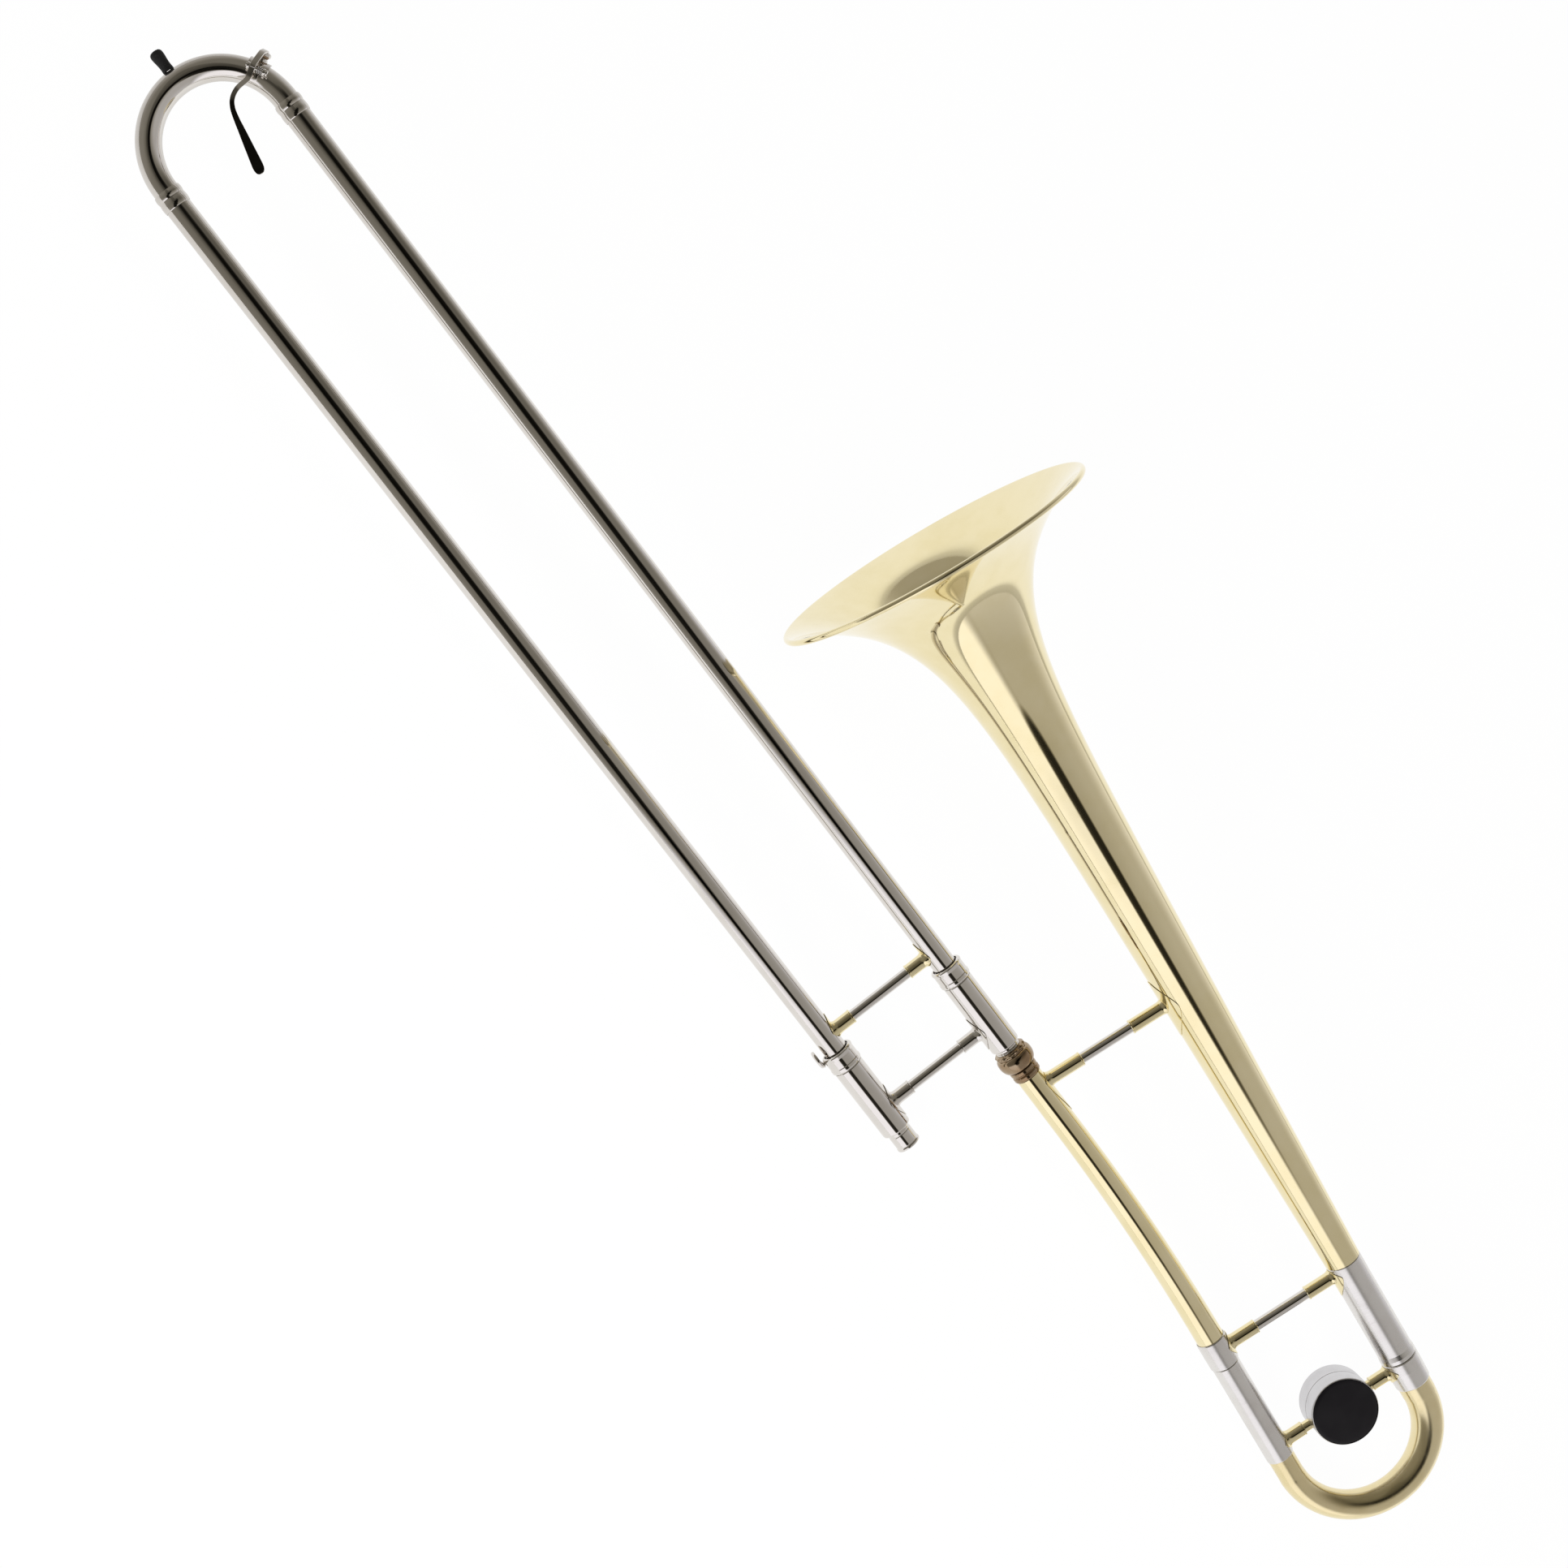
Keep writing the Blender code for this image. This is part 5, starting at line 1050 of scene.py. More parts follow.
@dataclass
class InnerSlide:
    """The two inner tubes with their barrels, the grip brace, the receiver and the tenon."""

    places: Places
    outer: OuterSlide
    bore: float = 0.0127
    inner_od: float = 0.0133
    stocking_length: float = 0.125
    tip: float = 0.012
    barrel_od: float = 0.0191
    barrel_start: float = 0.6345
    barrel_bell_side: float = 0.0507
    barrel_mouthpiece_side: float = 0.0500
    chamber_id: float = 0.0170
    spigot_od: float = 0.0182
    spigot_length: float = 0.0105
    felt_length: float = 0.008
    brace_x: float = 0.669
    brace_foot: Span = (-0.012, 0.012)
    brace_socket: float = 0.013
    receiver_od: float = 0.0150
    receiver_reach: float = 0.0127
    receiver_spigot: float = 0.008
    shank_mouth: float = 0.0124
    shank_throat: float = 0.0116
    thread_od: float = 0.0162
    thread_length: float = 0.0114
    nose_od: float = 0.0140
    nose_length: float = 0.0095
    thread_turns: int = 6

    @property
    def half(self) -> float:
        """Half the distance between the tubes."""
        return self.outer.half

    @property
    def tenon_start(self) -> float:
        """Where the tenon's thread starts, past the bell-side barrel."""
        return self.barrel_start + self.barrel_bell_side + SEAT_GAP

    def build(self) -> None:
        """Builds and dresses the inner slide."""
        mouthpiece_end = self.barrel_start + self.barrel_mouthpiece_side
        for side, y, end, tube_end in (
            ("bell_side", self.half, self.tenon_start - SEAT_GAP,
             self.tenon_start - SEAT_GAP - 0.0008),
            ("mouthpiece_side", -self.half, mouthpiece_end,
             mouthpiece_end - self.receiver_spigot - SEAT_GAP),
        ):
            self.build_tube(side, self.places.tube(y), tube_end)
            self.build_barrel(side, self.places.tube(y), end)
        Bench.fit(LockRing(self.places, self).ring_body(), "barrel_collar_bell_side",
                  FINISH.nickel, self.places.tube(self.half), Grain.AROUND)
        seat = flat_seat(self.barrel_od)
        Brace().build(
            "inner_brace", shifted(self.places.slide, self.brace_x),
            ("mouthpiece_side", -self.half, seat, self.brace_foot, 0.0),
            ("bell_side", self.half, seat, self.brace_foot, 0.0),
            self.brace_socket, FINISH.nickel, FINISH.nickel)
        self.build_receiver(mouthpiece_end)
        self.build_tenon()

    def build_tube(self, side: str, place: Matrix, end: float) -> None:
        """One inner tube, thicker at its tip."""
        tip, step = self.tip, self.tip + self.stocking_length
        bore, thick, thin = self.bore / 2, self.outer.stocking_od / 2, self.inner_od / 2
        tube = Bench.turn(
            [(tip, bore)] + rim(tip, thick, (0, -2), (6, 0))
            + [(step, thick), (step + 0.0006, thin), (end, thin), (end, bore)], 80)
        Bench.fit(tube, f"inner_tube_{side}", FINISH.nickel, place, Grain.ALONG)

    def build_barrel(self, side: str, place: Matrix, end: float) -> None:
        """One barrel, with the narrower spigot that the ring turns on."""
        start, wide = self.barrel_start, self.barrel_od / 2
        spigot, room = start - self.spigot_length, self.chamber_id / 2
        bearing = self.inner_od / 2 + SOLDER_GAP
        chamber = self.outer.tube_end + self.felt_length + 2 * SEAT_GAP
        barrel = Bench.turn(
            [(spigot, room), (spigot, self.spigot_od / 2), (start, self.spigot_od / 2)]
            + rim(start, wide, (0, -1), (3, 0)) + rim(end, wide, (-10, 0), (-4, -2), (0, -6))
            + [(end, bearing), (chamber, bearing), (chamber, room)], 96, 0.0001)
        Bench.fit(barrel, f"cork_barrel_{side}", FINISH.nickel, place, Grain.ALONG)

    def build_receiver(self, barrel_end: float) -> None:
        """The socket for a mouthpiece, with the bead round its mouth."""
        start, mouth = barrel_end - self.receiver_spigot, barrel_end + self.receiver_reach
        face, wide, spigot = barrel_end + SEAT_GAP, self.receiver_od / 2, self.inner_od / 2
        receiver = Bench.turn(
            [(start, self.shank_throat / 2), (start, spigot), (face, spigot)]
            + rim(face, wide, (0, 0), (16, 0), (19, -2), (23, -2), (26, 0))
            + rim(mouth, wide, (-26, 0), (-22, -1), (-18, 2.5), (-13, 4), (-7, 4), (-2, 2), (0, -2))
            + [(mouth, self.shank_mouth / 2)], 96, 0.00006)
        Bench.fit(receiver, "mouthpiece_receiver", FINISH.nickel, self.places.tube(-self.half),
                  Grain.AROUND)

    def build_tenon(self) -> None:
        """The tenon's thread and the nose that enters the neck."""
        start, wide, bore = self.tenon_start, self.thread_od / 2, self.bore / 2
        nose_start = start + self.thread_length
        nose_end = nose_start + self.nose_length
        pitch = self.thread_length / (self.thread_turns + 1)
        outline = [(start, bore), (start, wide)]
        for i in range(1, self.thread_turns + 1):
            outline += rim(start + pitch * i, wide, (-6, 0), (0, -4), (6, 0))
        outline += [(nose_start, wide), (nose_start, self.nose_od / 2),
                    (nose_end, self.nose_od / 2 - 0.0002), (nose_end, bore)]
        Bench.fit(Bench.turn(outline, 72, 0.00005), "slide_tenon", FINISH.nickel,
                  self.places.tube(self.half), Grain.AROUND)


@dataclass
class LockRing:
    """The slide lock: the ring round the barrel's mouth, and the knob that turns it."""

    places: Places
    inner: InnerSlide
    ring_od: float = 0.0208
    length: float = 0.0121
    knob_radius: float = 0.0060
    knob_height: float = 0.0034
    knob_offset: float = -0.0045
    knob_back: float = 0.0026
    stem_radius: float = 0.0020
    screw_radius: float = 0.0013

    @property
    def end(self) -> float:
        """Where the ring ends, at the barrel's shoulder."""
        return self.inner.barrel_start - SEAT_GAP

    @property
    def bore(self) -> float:
        """The ring's inside radius."""
        return self.inner.spigot_od / 2 + RUN_GAP

    def ring_body(self) -> Object:
        """Models the ring with its lip in front and the fine groove at its back."""
        end, start = self.end, self.end - self.length
        lip, wide = self.inner.chamber_id / 2, self.ring_od / 2
        return Bench.turn(
            [(start, lip)] + rim(start, wide, (0, -8), (4, -3), (10, 0), (18, -1), (30, -4))
            + rim(end, wide, (-34, -4), (-30, -1), (-12, -1), (-5, -4), (0, -9))
            + [(end, self.bore), (start + 0.0012, self.bore), (start + 0.0012, lip)], 112, 0.00006)

    def build(self) -> None:
        """Builds and dresses the slide lock."""
        place = self.places.tube(-self.inner.half)
        Bench.fit(self.ring_body(), "slide_lock_ring", FINISH.nickel, place, Grain.AROUND)
        wide, screw, stem = self.ring_od / 2, self.screw_radius, self.stem_radius
        top, root, seat = wide + self.knob_height, self.bore + 0.0005, wide + SEAT_GAP
        knob = Bench.turn(crown(
            top, self.knob_radius, (0, 0), (-1, 0.60), (-4, 0.86), (-10, 0.98), (-16, 1),
            (-22, 0.98), (-26, 0.92), (-27, 0.5), (-27, 0)), 64, 0.0002, closed=False)
        Bench.move(knob, Matrix.Translation((0, self.knob_offset, 0)))
        shank = Bench.turn([
            (top - 0.0022, 0), (top - 0.0022, stem), (wide + 0.0006, stem), (seat, stem + 0.0004),
            (seat, screw), (root, screw), (root, 0)], 48, 0.0001, closed=False)
        knob = Bench.smooth(Bench.join(knob, shank))
        at = shifted(place, self.end - self.length + self.knob_back) @ TO_MINUS_Y
        Bench.fit(knob, "slide_lock_knob", FINISH.nickel, at, Grain.AROUND)


@dataclass
class BellJoint:
    """The ribbed nut on the tenon and the neck's socket that it draws up."""

    places: Places
    inner: InnerSlide
    nut_od: float = 0.0236
    nut_length: float = 0.0137
    nut_lip: float = 0.0018
    nut_waist: float = 0.46
    ribs: int = 12
    rib_faces: int = 16
    rib_depth: float = 0.0010
    flange_od: float = 0.0172
    flange_length: float = 0.0022
    collar_od: float = 0.0182
    collar_length: float = 0.0070
    collar_step: float = 0.0012
    spigot_length: float = 0.0105
    spigot_radius: float = 0.00755

    @property
    def flange(self) -> float:
        """Where the neck's flange starts along the slide."""
        return self.inner.tenon_start + self.inner.thread_length + SEAT_GAP

    @property
    def collar(self) -> float:
        """Where the collar behind the nut starts."""
        return self.flange + self.flange_length + self.nut_lip + 3 * SEAT_GAP

    @property
    def neck(self) -> float:
        """Where the neck's brass starts."""
        return self.collar + self.collar_length

    def build(self) -> None:
        """Builds and dresses the joint."""
        place = self.places.tube(self.inner.half)
        Bench.fit(self.nut(), "bell_lock_nut", FINISH.dark_bronze, place, Grain.AROUND)
        wide, flange, collar, neck = self.collar_od / 2, self.flange, self.collar, self.neck
        body, shoulder = wide - self.collar_step, flange + self.flange_length
        socket, bore = self.inner.nose_od / 2 + RUN_GAP, self.inner.bore / 2
        nose_end, end = flange + self.inner.nose_length, neck + self.spigot_length
        receiver = Bench.turn(
            [(flange, socket), (flange, self.flange_od / 2), (shoulder, self.flange_od / 2),
             (shoulder, body), (collar, body)]
            + rim(collar, wide, (0, -3), (4, 0), (22, 0), (26, -3), (29, -9), (34, -9), (37, -3),
                  (42, 0))
            + rim(neck, wide, (-10, 0), (-4, -3), (0, -8))
            + [(neck, self.spigot_radius), (end, self.spigot_radius), (end, bore),
               (nose_end, bore), (nose_end, socket - 0.0002)], 96, 0.00008)
        Bench.fit(receiver, "neck_receiver", FINISH.dark_bronze, place, Grain.AROUND)

    def nut(self) -> Object:
        """The nut: turned, then scalloped round its front bead."""
        end, outer = self.collar - SEAT_GAP, self.nut_od / 2
        start = end - self.nut_length
        waist, face = start + self.nut_length * self.nut_waist, self.flange - SEAT_GAP
        thread, pocket = self.inner.thread_od / 2 + RUN_GAP, self.flange_od / 2 + SEAT_GAP
        body = self.collar_od / 2 - self.collar_step + SEAT_GAP
        floor = self.flange + self.flange_length + SEAT_GAP
        nut = Bench.turn(
            [(start, thread)]
            + rim(start, outer, (0, -30), (3, -22), (8, -16), (14, -13), (20, -13), (25, -16),
                  (28, -21), (32, -21), (35, -12), (41, -6), (52, -2))
            + rim(waist, outer, (8, 0), (26, -1))
            + rim(end, outer, (-36, -4), (-22, -9), (-10, -17), (-3, -25), (0, -30))
            + [(end, body), (floor, body), (floor, pocket), (face, pocket), (face, thread)],
            self.ribs * self.rib_faces)
        self.scallop(nut, outer - 0.0020, start + 0.0004, start + 0.0027)
        return Bench.smooth(nut, 50)

    def scallop(self, nut: Object, least: float, low: float, high: float) -> None:
        """Presses a round hollow between each two ribs.

        Args:
            nut: the turned nut.
            least: the radius that a point must have to be on the ribbed face.
            low: where the ribbed face starts.
            high: where it ends.
        """
        Bench.take(nut)
        bpy.ops.object.mode_set(mode="EDIT")
        bpy.ops.mesh.select_mode(type="VERT")
        faces, outer = self.rib_faces, self.nut_od / 2
        for offset in range(-5, 6):
            hollow = math.cos(offset / 6 * math.pi / 2) ** 0.8
            share = (outer - self.rib_depth * hollow) / outer
            mesh = bmesh.from_edit_mesh(nut.data)
            for vert in mesh.verts:
                radius = math.hypot(vert.co.y, vert.co.z)
                turn = math.atan2(vert.co.z, vert.co.y) / (2 * math.pi)
                chosen = (round(turn * self.ribs * faces) - offset) % faces == 0
                vert.select = chosen and radius > least and low < vert.co.x < high
            mesh.select_flush(True)
            bmesh.update_edit_mesh(nut.data)
            bpy.ops.transform.resize(
                value=(1, share, share), center_override=((low + high) / 2, 0, 0))
        Bench.clear()


@dataclass
class BellSection:
    """The bell, the gooseneck, their braces and the two tuning legs."""

    places: Places
    joint: BellJoint
    diameter: float = 0.2032
    length: float = 0.517
    tail_od: float = 0.0232
    taper: float = 0.0268
    flare_reach: float = 0.032
    flare_power: float = 0.92
    wall: float = 0.0006
    rim_curl: float = 0.0016
    rim_lean: float = math.radians(22)
    rim_turn: float = math.radians(300)
    rim_position: float = 0.4182
    angle: float = math.radians(6.0)
    neck_start_od: float = 0.0163
    neck_end_od: float = 0.0182
    neck_wall: float = 0.0005
    first_straight: float = 0.0399
    last_straight: float = 0.0110
    leg_spacing: float = 0.0967
    neck_end: float = 0.520
    ferrule_overlap: float = 0.0065
    ferrule_wall: float = 0.00056
    ferrule_end: float = 0.533
    neck_leg_od: float = 0.0172
    neck_leg_end: float = 0.598
    neck_leg_spigot: float = 0.008
    leg_wall: float = 0.0005
    sleeve_wall: float = 0.0004
    sleeve_end: float = 0.593
    sleeve_ring: float = 0.0004
    sleeve_spigot: float = 0.008
    upper_x: float = 0.3135
    upper_socket: float = 0.024
    upper_neck_foot: Span = (-0.0050, 0.025)
    upper_bell_foot: Span = (-0.0185, 0.0215)
    lower_x: float = 0.5235
    lower_socket: float = 0.019
    lower_neck_foot: Span = (-0.0085, 0.0085)
    lower_bell_foot: Span = (-0.0055, 0.014)

    @property
    def neck_x(self) -> float:
        """Where the neck's brass starts along the slide, from the rim's centre."""
        return self.joint.neck + SEAT_GAP - self.rim_position

    @property
    def rim_distance(self) -> float:
        """How far the rim's centre lies from the bell-side slide tube."""
        reach = self.neck_x + self.first_straight
        bend = self.neck_end - self.last_straight - reach * math.cos(self.angle)
        return (reach * math.sin(self.angle) + self.leg_spacing
                + math.tan(self.angle / 2) * bend)

    @property
    def place(self) -> Matrix:
        """The bell's working frame."""
        height = self.joint.inner.half + self.rim_distance
        turn = Matrix.Rotation(-self.angle, 4, "Z")
        return shifted(self.places.slide, self.rim_position, height) @ turn

    @property
    def neck_place(self) -> Matrix:
        """The line of the neck-side tuning leg."""
        return shifted(self.place, 0, -self.leg_spacing)

    @property
    def ferrule_od(self) -> float:
        """The outside width of the neck's ferrule."""
        return self.neck_end_od + 2 * (SOLDER_GAP + self.ferrule_wall)

    def radius(self, along: float) -> float:
        """The bell's outside radius at a place along it."""
        edge = self.diameter / 2 - self.wall / 2 - self.rim_curl * (1 + math.sin(self.rim_lean))
        height = edge - self.tail_od / 2 - self.taper * self.length
        flare = math.exp(-((max(along, 0.0) / self.flare_reach) ** self.flare_power))
        return self.tail_od / 2 + self.taper * (self.length - along) + height * flare

    def build(self) -> None:
        """Builds and dresses the bell section."""
        self.build_bell()
        self.build_neck()
        self.build_legs()
        self.build_braces()

    def build_bell(self) -> None:
        """The bell's skin down to its tail, with the rolled rim."""
        rows, curl = 84, self.rim_curl
        alongs = [self.length * (i / rows) ** 2.2 for i in range(rows, -1, -1)]
        outline = [(along, self.radius(along) - self.wall / 2) for along in alongs]
        out, ahead = math.sin(self.rim_lean), math.cos(self.rim_lean)
        centre_a, centre_r = outline[-1][0] + curl * ahead, outline[-1][1] + curl * out
        for angle in (self.rim_turn * i / 18 for i in range(1, 19)):
            cos, sin = math.cos(angle), math.sin(angle)
            outline.append((centre_a - curl * (cos * ahead + sin * out),
                            centre_r + curl * (sin * ahead - cos * out)))
        bell = Bench.turn(outline, 160, closed=False, wall=self.wall)
        Bench.fit(bell, "bell", FINISH.brass, self.place, Grain.AROUND)

    def neck_route(self) -> list[tuple[Vector, float]]:
        """Points and headings down the neck, in the bell's working frame."""
        cos, sin = math.cos(self.angle), math.sin(self.angle)
        x, y = self.neck_x, -self.rim_distance
        start = Vector((x * cos - y * sin, x * sin + y * cos, 0))
        bend_start = start + Vector((cos, sin, 0)) * self.first_straight
        bend_end = self.neck_end - self.last_straight
        radius = (bend_end - bend_start.x) / sin
        centre = (bend_end, -self.leg_spacing - radius)
        return [(start, self.angle),
                *arc(centre, radius, math.pi / 2 + self.angle, math.pi / 2, 20),
                (Vector((self.neck_end, -self.leg_spacing, 0)), 0.0)]

    def neck_radius(self, along: float) -> float:
        """The tapering neck's outside radius at a place along the bell."""
        route = self.neck_route()
        first, last = route[0][0].x, route[-1][0].x
        growth = (self.neck_end_od - self.neck_start_od) / 2 / (last - first)
        return self.neck_start_od / 2 + growth * (along - first)

    def neck_height(self, along: float) -> float:
        """The neck's height at a place along the bell."""
        route = self.neck_route()
        for (a, _), (b, _) in zip(route, route[1:]):
            if along <= b.x:
                return a.y + (b.y - a.y) * (along - a.x) / (b.x - a.x)
        return route[-1][0].y

    def build_neck(self) -> None:
        """The tapering gooseneck."""
        stations = [(point, self.neck_radius(point.x), heading)
                    for point, heading in self.neck_route()]
        neck = Bench.bend(stations, self.neck_wall, 80)
        Bench.fit(neck, "gooseneck", FINISH.brass, self.place, Grain.CLOUDY)

    def build_legs(self) -> None:
        """The ferrule and leg on the neck side, and the sleeve on the bell's tail."""
        outer, inner = self.ferrule_od / 2, self.neck_end_od / 2 + SOLDER_GAP
        leg, wall = self.neck_leg_od / 2, self.leg_wall
        hole = leg + SOLDER_GAP
        start, shoulder = self.neck_end - self.ferrule_overlap, self.neck_end + SEAT_GAP
        end = self.ferrule_end
        ferrule = Bench.turn(
            [(start, inner)]
            + rim(start, outer, (0, -3), (6, 0)) + rim(end, outer, (-7, 0), (0, -6))
            + [(end, hole), (shoulder, hole), (shoulder, inner)], 96, 0.0001)
        Bench.fit(ferrule, "neck_ferrule", FINISH.satin_nickel, self.neck_place, Grain.AROUND)
        spigot = self.neck_end_od / 2 - self.neck_wall - 2 * SOLDER_GAP
        start, end = self.neck_end - self.neck_leg_spigot, self.neck_leg_end
        tube = Bench.turn([
            (start, spigot - wall), (start, spigot), (shoulder, spigot), (shoulder, leg),
            (end, leg), (end, leg - wall), (shoulder + wall, leg - wall),
            (shoulder, spigot - wall)], 88)
        Bench.fit(tube, "neck_tuning_leg", FINISH.nickel, self.neck_place, Grain.ALONG)
        spigot = self.tail_od / 2 - self.wall - SOLDER_GAP
        outer, ring = self.tail_od / 2, self.tail_od / 2 + self.sleeve_ring
        start, end = self.length - self.sleeve_spigot, self.sleeve_end
        shoulder, running = self.length + SEAT_GAP, outer - self.sleeve_wall
        step = shoulder + self.sleeve_wall
        sleeve = Bench.turn(
            [(start, spigot - wall), (start, spigot), (shoulder, spigot)]
            + rim(shoulder, outer, (0, -2), (4, 0)) + [(end - 0.0060, outer)]
            + rim(end, ring, (-36, -1), (-28, 0), (-5, 0), (0, -5))
            + [(end, running), (step, running), (step, spigot - wall)], 104, 0.00006)
        Bench.fit(sleeve, "bell_tuning_sleeve", FINISH.satin_nickel, self.place, Grain.AROUND)

    def build_braces(self) -> None:
        """The two braces between the neck and the bell."""
        x, low = self.upper_x, -self.leg_spacing
        Brace().build(
            "upper_brace", shifted(self.place, x),
            ("neck_side", self.neck_height(x), lambda along: self.neck_radius(x + along),
             self.upper_neck_foot, self.angle),
            ("bell_side", 0.0, lambda along: self.radius(x + along), self.upper_bell_foot, 0.0),
            self.upper_socket, FINISH.brass, FINISH.nickel)
        Brace().build(
            "lower_brace", shifted(self.place, self.lower_x),
            ("neck_side", low, flat_seat(self.ferrule_od), self.lower_neck_foot, 0.0),
            ("bell_side", 0.0, flat_seat(self.tail_od), self.lower_bell_foot, 0.0),
            self.lower_socket, FINISH.brass, FINISH.nickel)


@dataclass
class TuningSlide:
    """The bow with its sleeve, leg, ferrule and brace."""

    bell: BellSection
    sleeve_end: float = 0.6065
    leg_start: float = 0.527
    leg_end: float = 0.602
    ferrule_end: float = 0.613
    bow_centre: float = 0.6211
    bow_start: float = 0.603
    bow_bell_od: float = 0.0216
    bow_wall: float = 0.0005
    end_share: float = 1 / 14
    brace_x: float = 0.5995
    brace_socket: float = 0.0125
    brace_foot: Span = (-0.0055, 0.0065)

    @property
    def sleeve_bore(self) -> float:
        """The inside radius of the neck-side sleeve."""
        return self.bell.neck_leg_od / 2 + RUN_GAP

    def build(self) -> None:
        """Builds and dresses the tuning slide."""
        bell, bore = self.bell, self.sleeve_bore
        outer, ring = bore + bell.sleeve_wall, bell.tail_od / 2 + bell.sleeve_ring
        start, end = bell.ferrule_end + SEAT_GAP, self.sleeve_end
        sleeve = Bench.turn(
            [(start, bore)] + rim(start, outer, (0, -2), (3, 0)) + rim(end, outer, (-4, 0), (0, -2))
            + [(end, bore)], 96, 0.00008)
        Bench.fit(sleeve, "tuning_sleeve_neck_side", FINISH.satin_nickel, bell.neck_place,
                  Grain.AROUND)
        self.build_bow()
        self.build_bell_leg()
        Brace().build(
            "tuning_brace", shifted(bell.place, self.brace_x),
            ("neck_side", -bell.leg_spacing, flat_seat(2 * outer), self.brace_foot, 0.0),
            ("bell_side", 0.0, flat_seat(2 * ring), self.brace_foot, 0.0),
            self.brace_socket, FINISH.brass, FINISH.brass)

    def build_bow(self) -> None:
        """The brass bow, which widens towards the bell."""
        spacing, steps = self.bell.leg_spacing, 72
        small, large = self.sleeve_bore - SOLDER_GAP, self.bow_bell_od / 2
        bend = arc((self.bow_centre, -spacing / 2), spacing / 2, -math.pi / 2, math.pi / 2, steps)
        stations = [(Vector((self.bow_start, -spacing, 0)), small, 0.0)]
        for i, (point, heading) in enumerate(bend):
            share = i / steps
            if 0 < i < steps:
                share = self.end_share + share * (1 - 2 * self.end_share)
            stations.append((point, small + (large - small) * share, heading))
        stations.append((Vector((self.bow_start, 0, 0)), large, math.pi))
        bow = Bench.bend(stations, self.bow_wall, 88)
        Bench.fit(bow, "tuning_bow", FINISH.satin_brass, self.bell.place, Grain.CLOUDY)

    def build_bell_leg(self) -> None:
        """The leg that slides in the bell's sleeve, and the ferrule that joins it to the bow."""
        bell = self.bell
        outer = bell.tail_od / 2
        ring, running = outer + bell.sleeve_ring, outer - bell.sleeve_wall - RUN_GAP
        leg, bow = running + SOLDER_GAP, self.bow_bell_od / 2 + SOLDER_GAP
        start, shoulder, end = bell.sleeve_end + SEAT_GAP, self.leg_end + SEAT_GAP, self.ferrule_end
        ferrule = Bench.turn(
            [(start, leg)] + rim(start, ring, (0, -5), (5, 0))
            + rim(shoulder, ring, (-10, 0), (40, -2)) + rim(end, outer, (-6, 0), (0, -3))
            + [(end, bow), (shoulder, bow), (shoulder, leg)], 104, 0.00008)
        Bench.fit(ferrule, "tuning_ferrule_bell_side", FINISH.satin_nickel, bell.place,
                  Grain.AROUND)
        tube = Bench.turn(tube_outline(
            self.leg_start, self.leg_end, running, running - bell.leg_wall), 96, 0.0001)
        Bench.fit(tube, "tuning_leg_bell_side", FINISH.nickel, bell.place, Grain.ALONG)


@dataclass
class Counterweight:
    """The drum clamped on the tuning brace, with its plain black cap."""

    tuning: TuningSlide
    radius: float = 0.0220
    front_depth: float = 0.0118
    back_depth: float = 0.0130
    rim_width: float = 0.0006
    cap_depth: float = 0.0022
    cap_crown: float = 0.0006

    def build(self) -> None:
        """Builds and dresses the counterweight, along its own X."""
        bell = self.tuning.bell
        place = shifted(bell.place, self.tuning.brace_x, -bell.leg_spacing / 2) @ TO_Z
        wide, front, back, face = self.radius, self.front_depth, self.back_depth, SOLDER_GAP / 2
        seat, floor = wide - self.rim_width, front - self.cap_depth - SEAT_GAP
        drum = Bench.turn(
            [(face, 0)] + rim(face, wide, (0, -2), (2, 0))
            + rim(front, wide, (-10, 0), (-4, -2), (0, -5))
            + [(front, seat), (floor, seat), (floor, 0)], 144, 0.0001, closed=False)
        # Both halves of the drum take the copy of the satin nickel with painted shade.
        Bench.fit(drum, "counterweight_front", FINISH.drum_nickel, place, Grain.AROUND)
        drum = Bench.turn(
            [(-face, 0)] + rim(-face, wide, (0, -2), (-2, 0))
            + rim(-back, wide, (14, 0), (6, -3), (1, -9), (0, -12), (0, -40), (3, -44))
            + [(-back + 0.0003, 0)], 144, 0.00008, closed=False)
        Bench.fit(drum, "counterweight_back", FINISH.drum_nickel, place, Grain.AROUND)
        edge, base, top = seat - SOLDER_GAP, floor + SEAT_GAP, self.cap_crown
        cap = Bench.turn(
            [(front + top, 0), (front + top * 0.94, edge * 0.35), (front + top * 0.75, edge * 0.62),
             (front + 0.0003, edge * 0.86)]
            + rim(front, edge, (0.5, -7), (-4, -1), (-8, 0)) + [(base, edge), (base, 0)],
            144, closed=False)
        Bench.fit(cap, "counterweight_cap", FINISH.cap, place, Grain.CLOUDY)


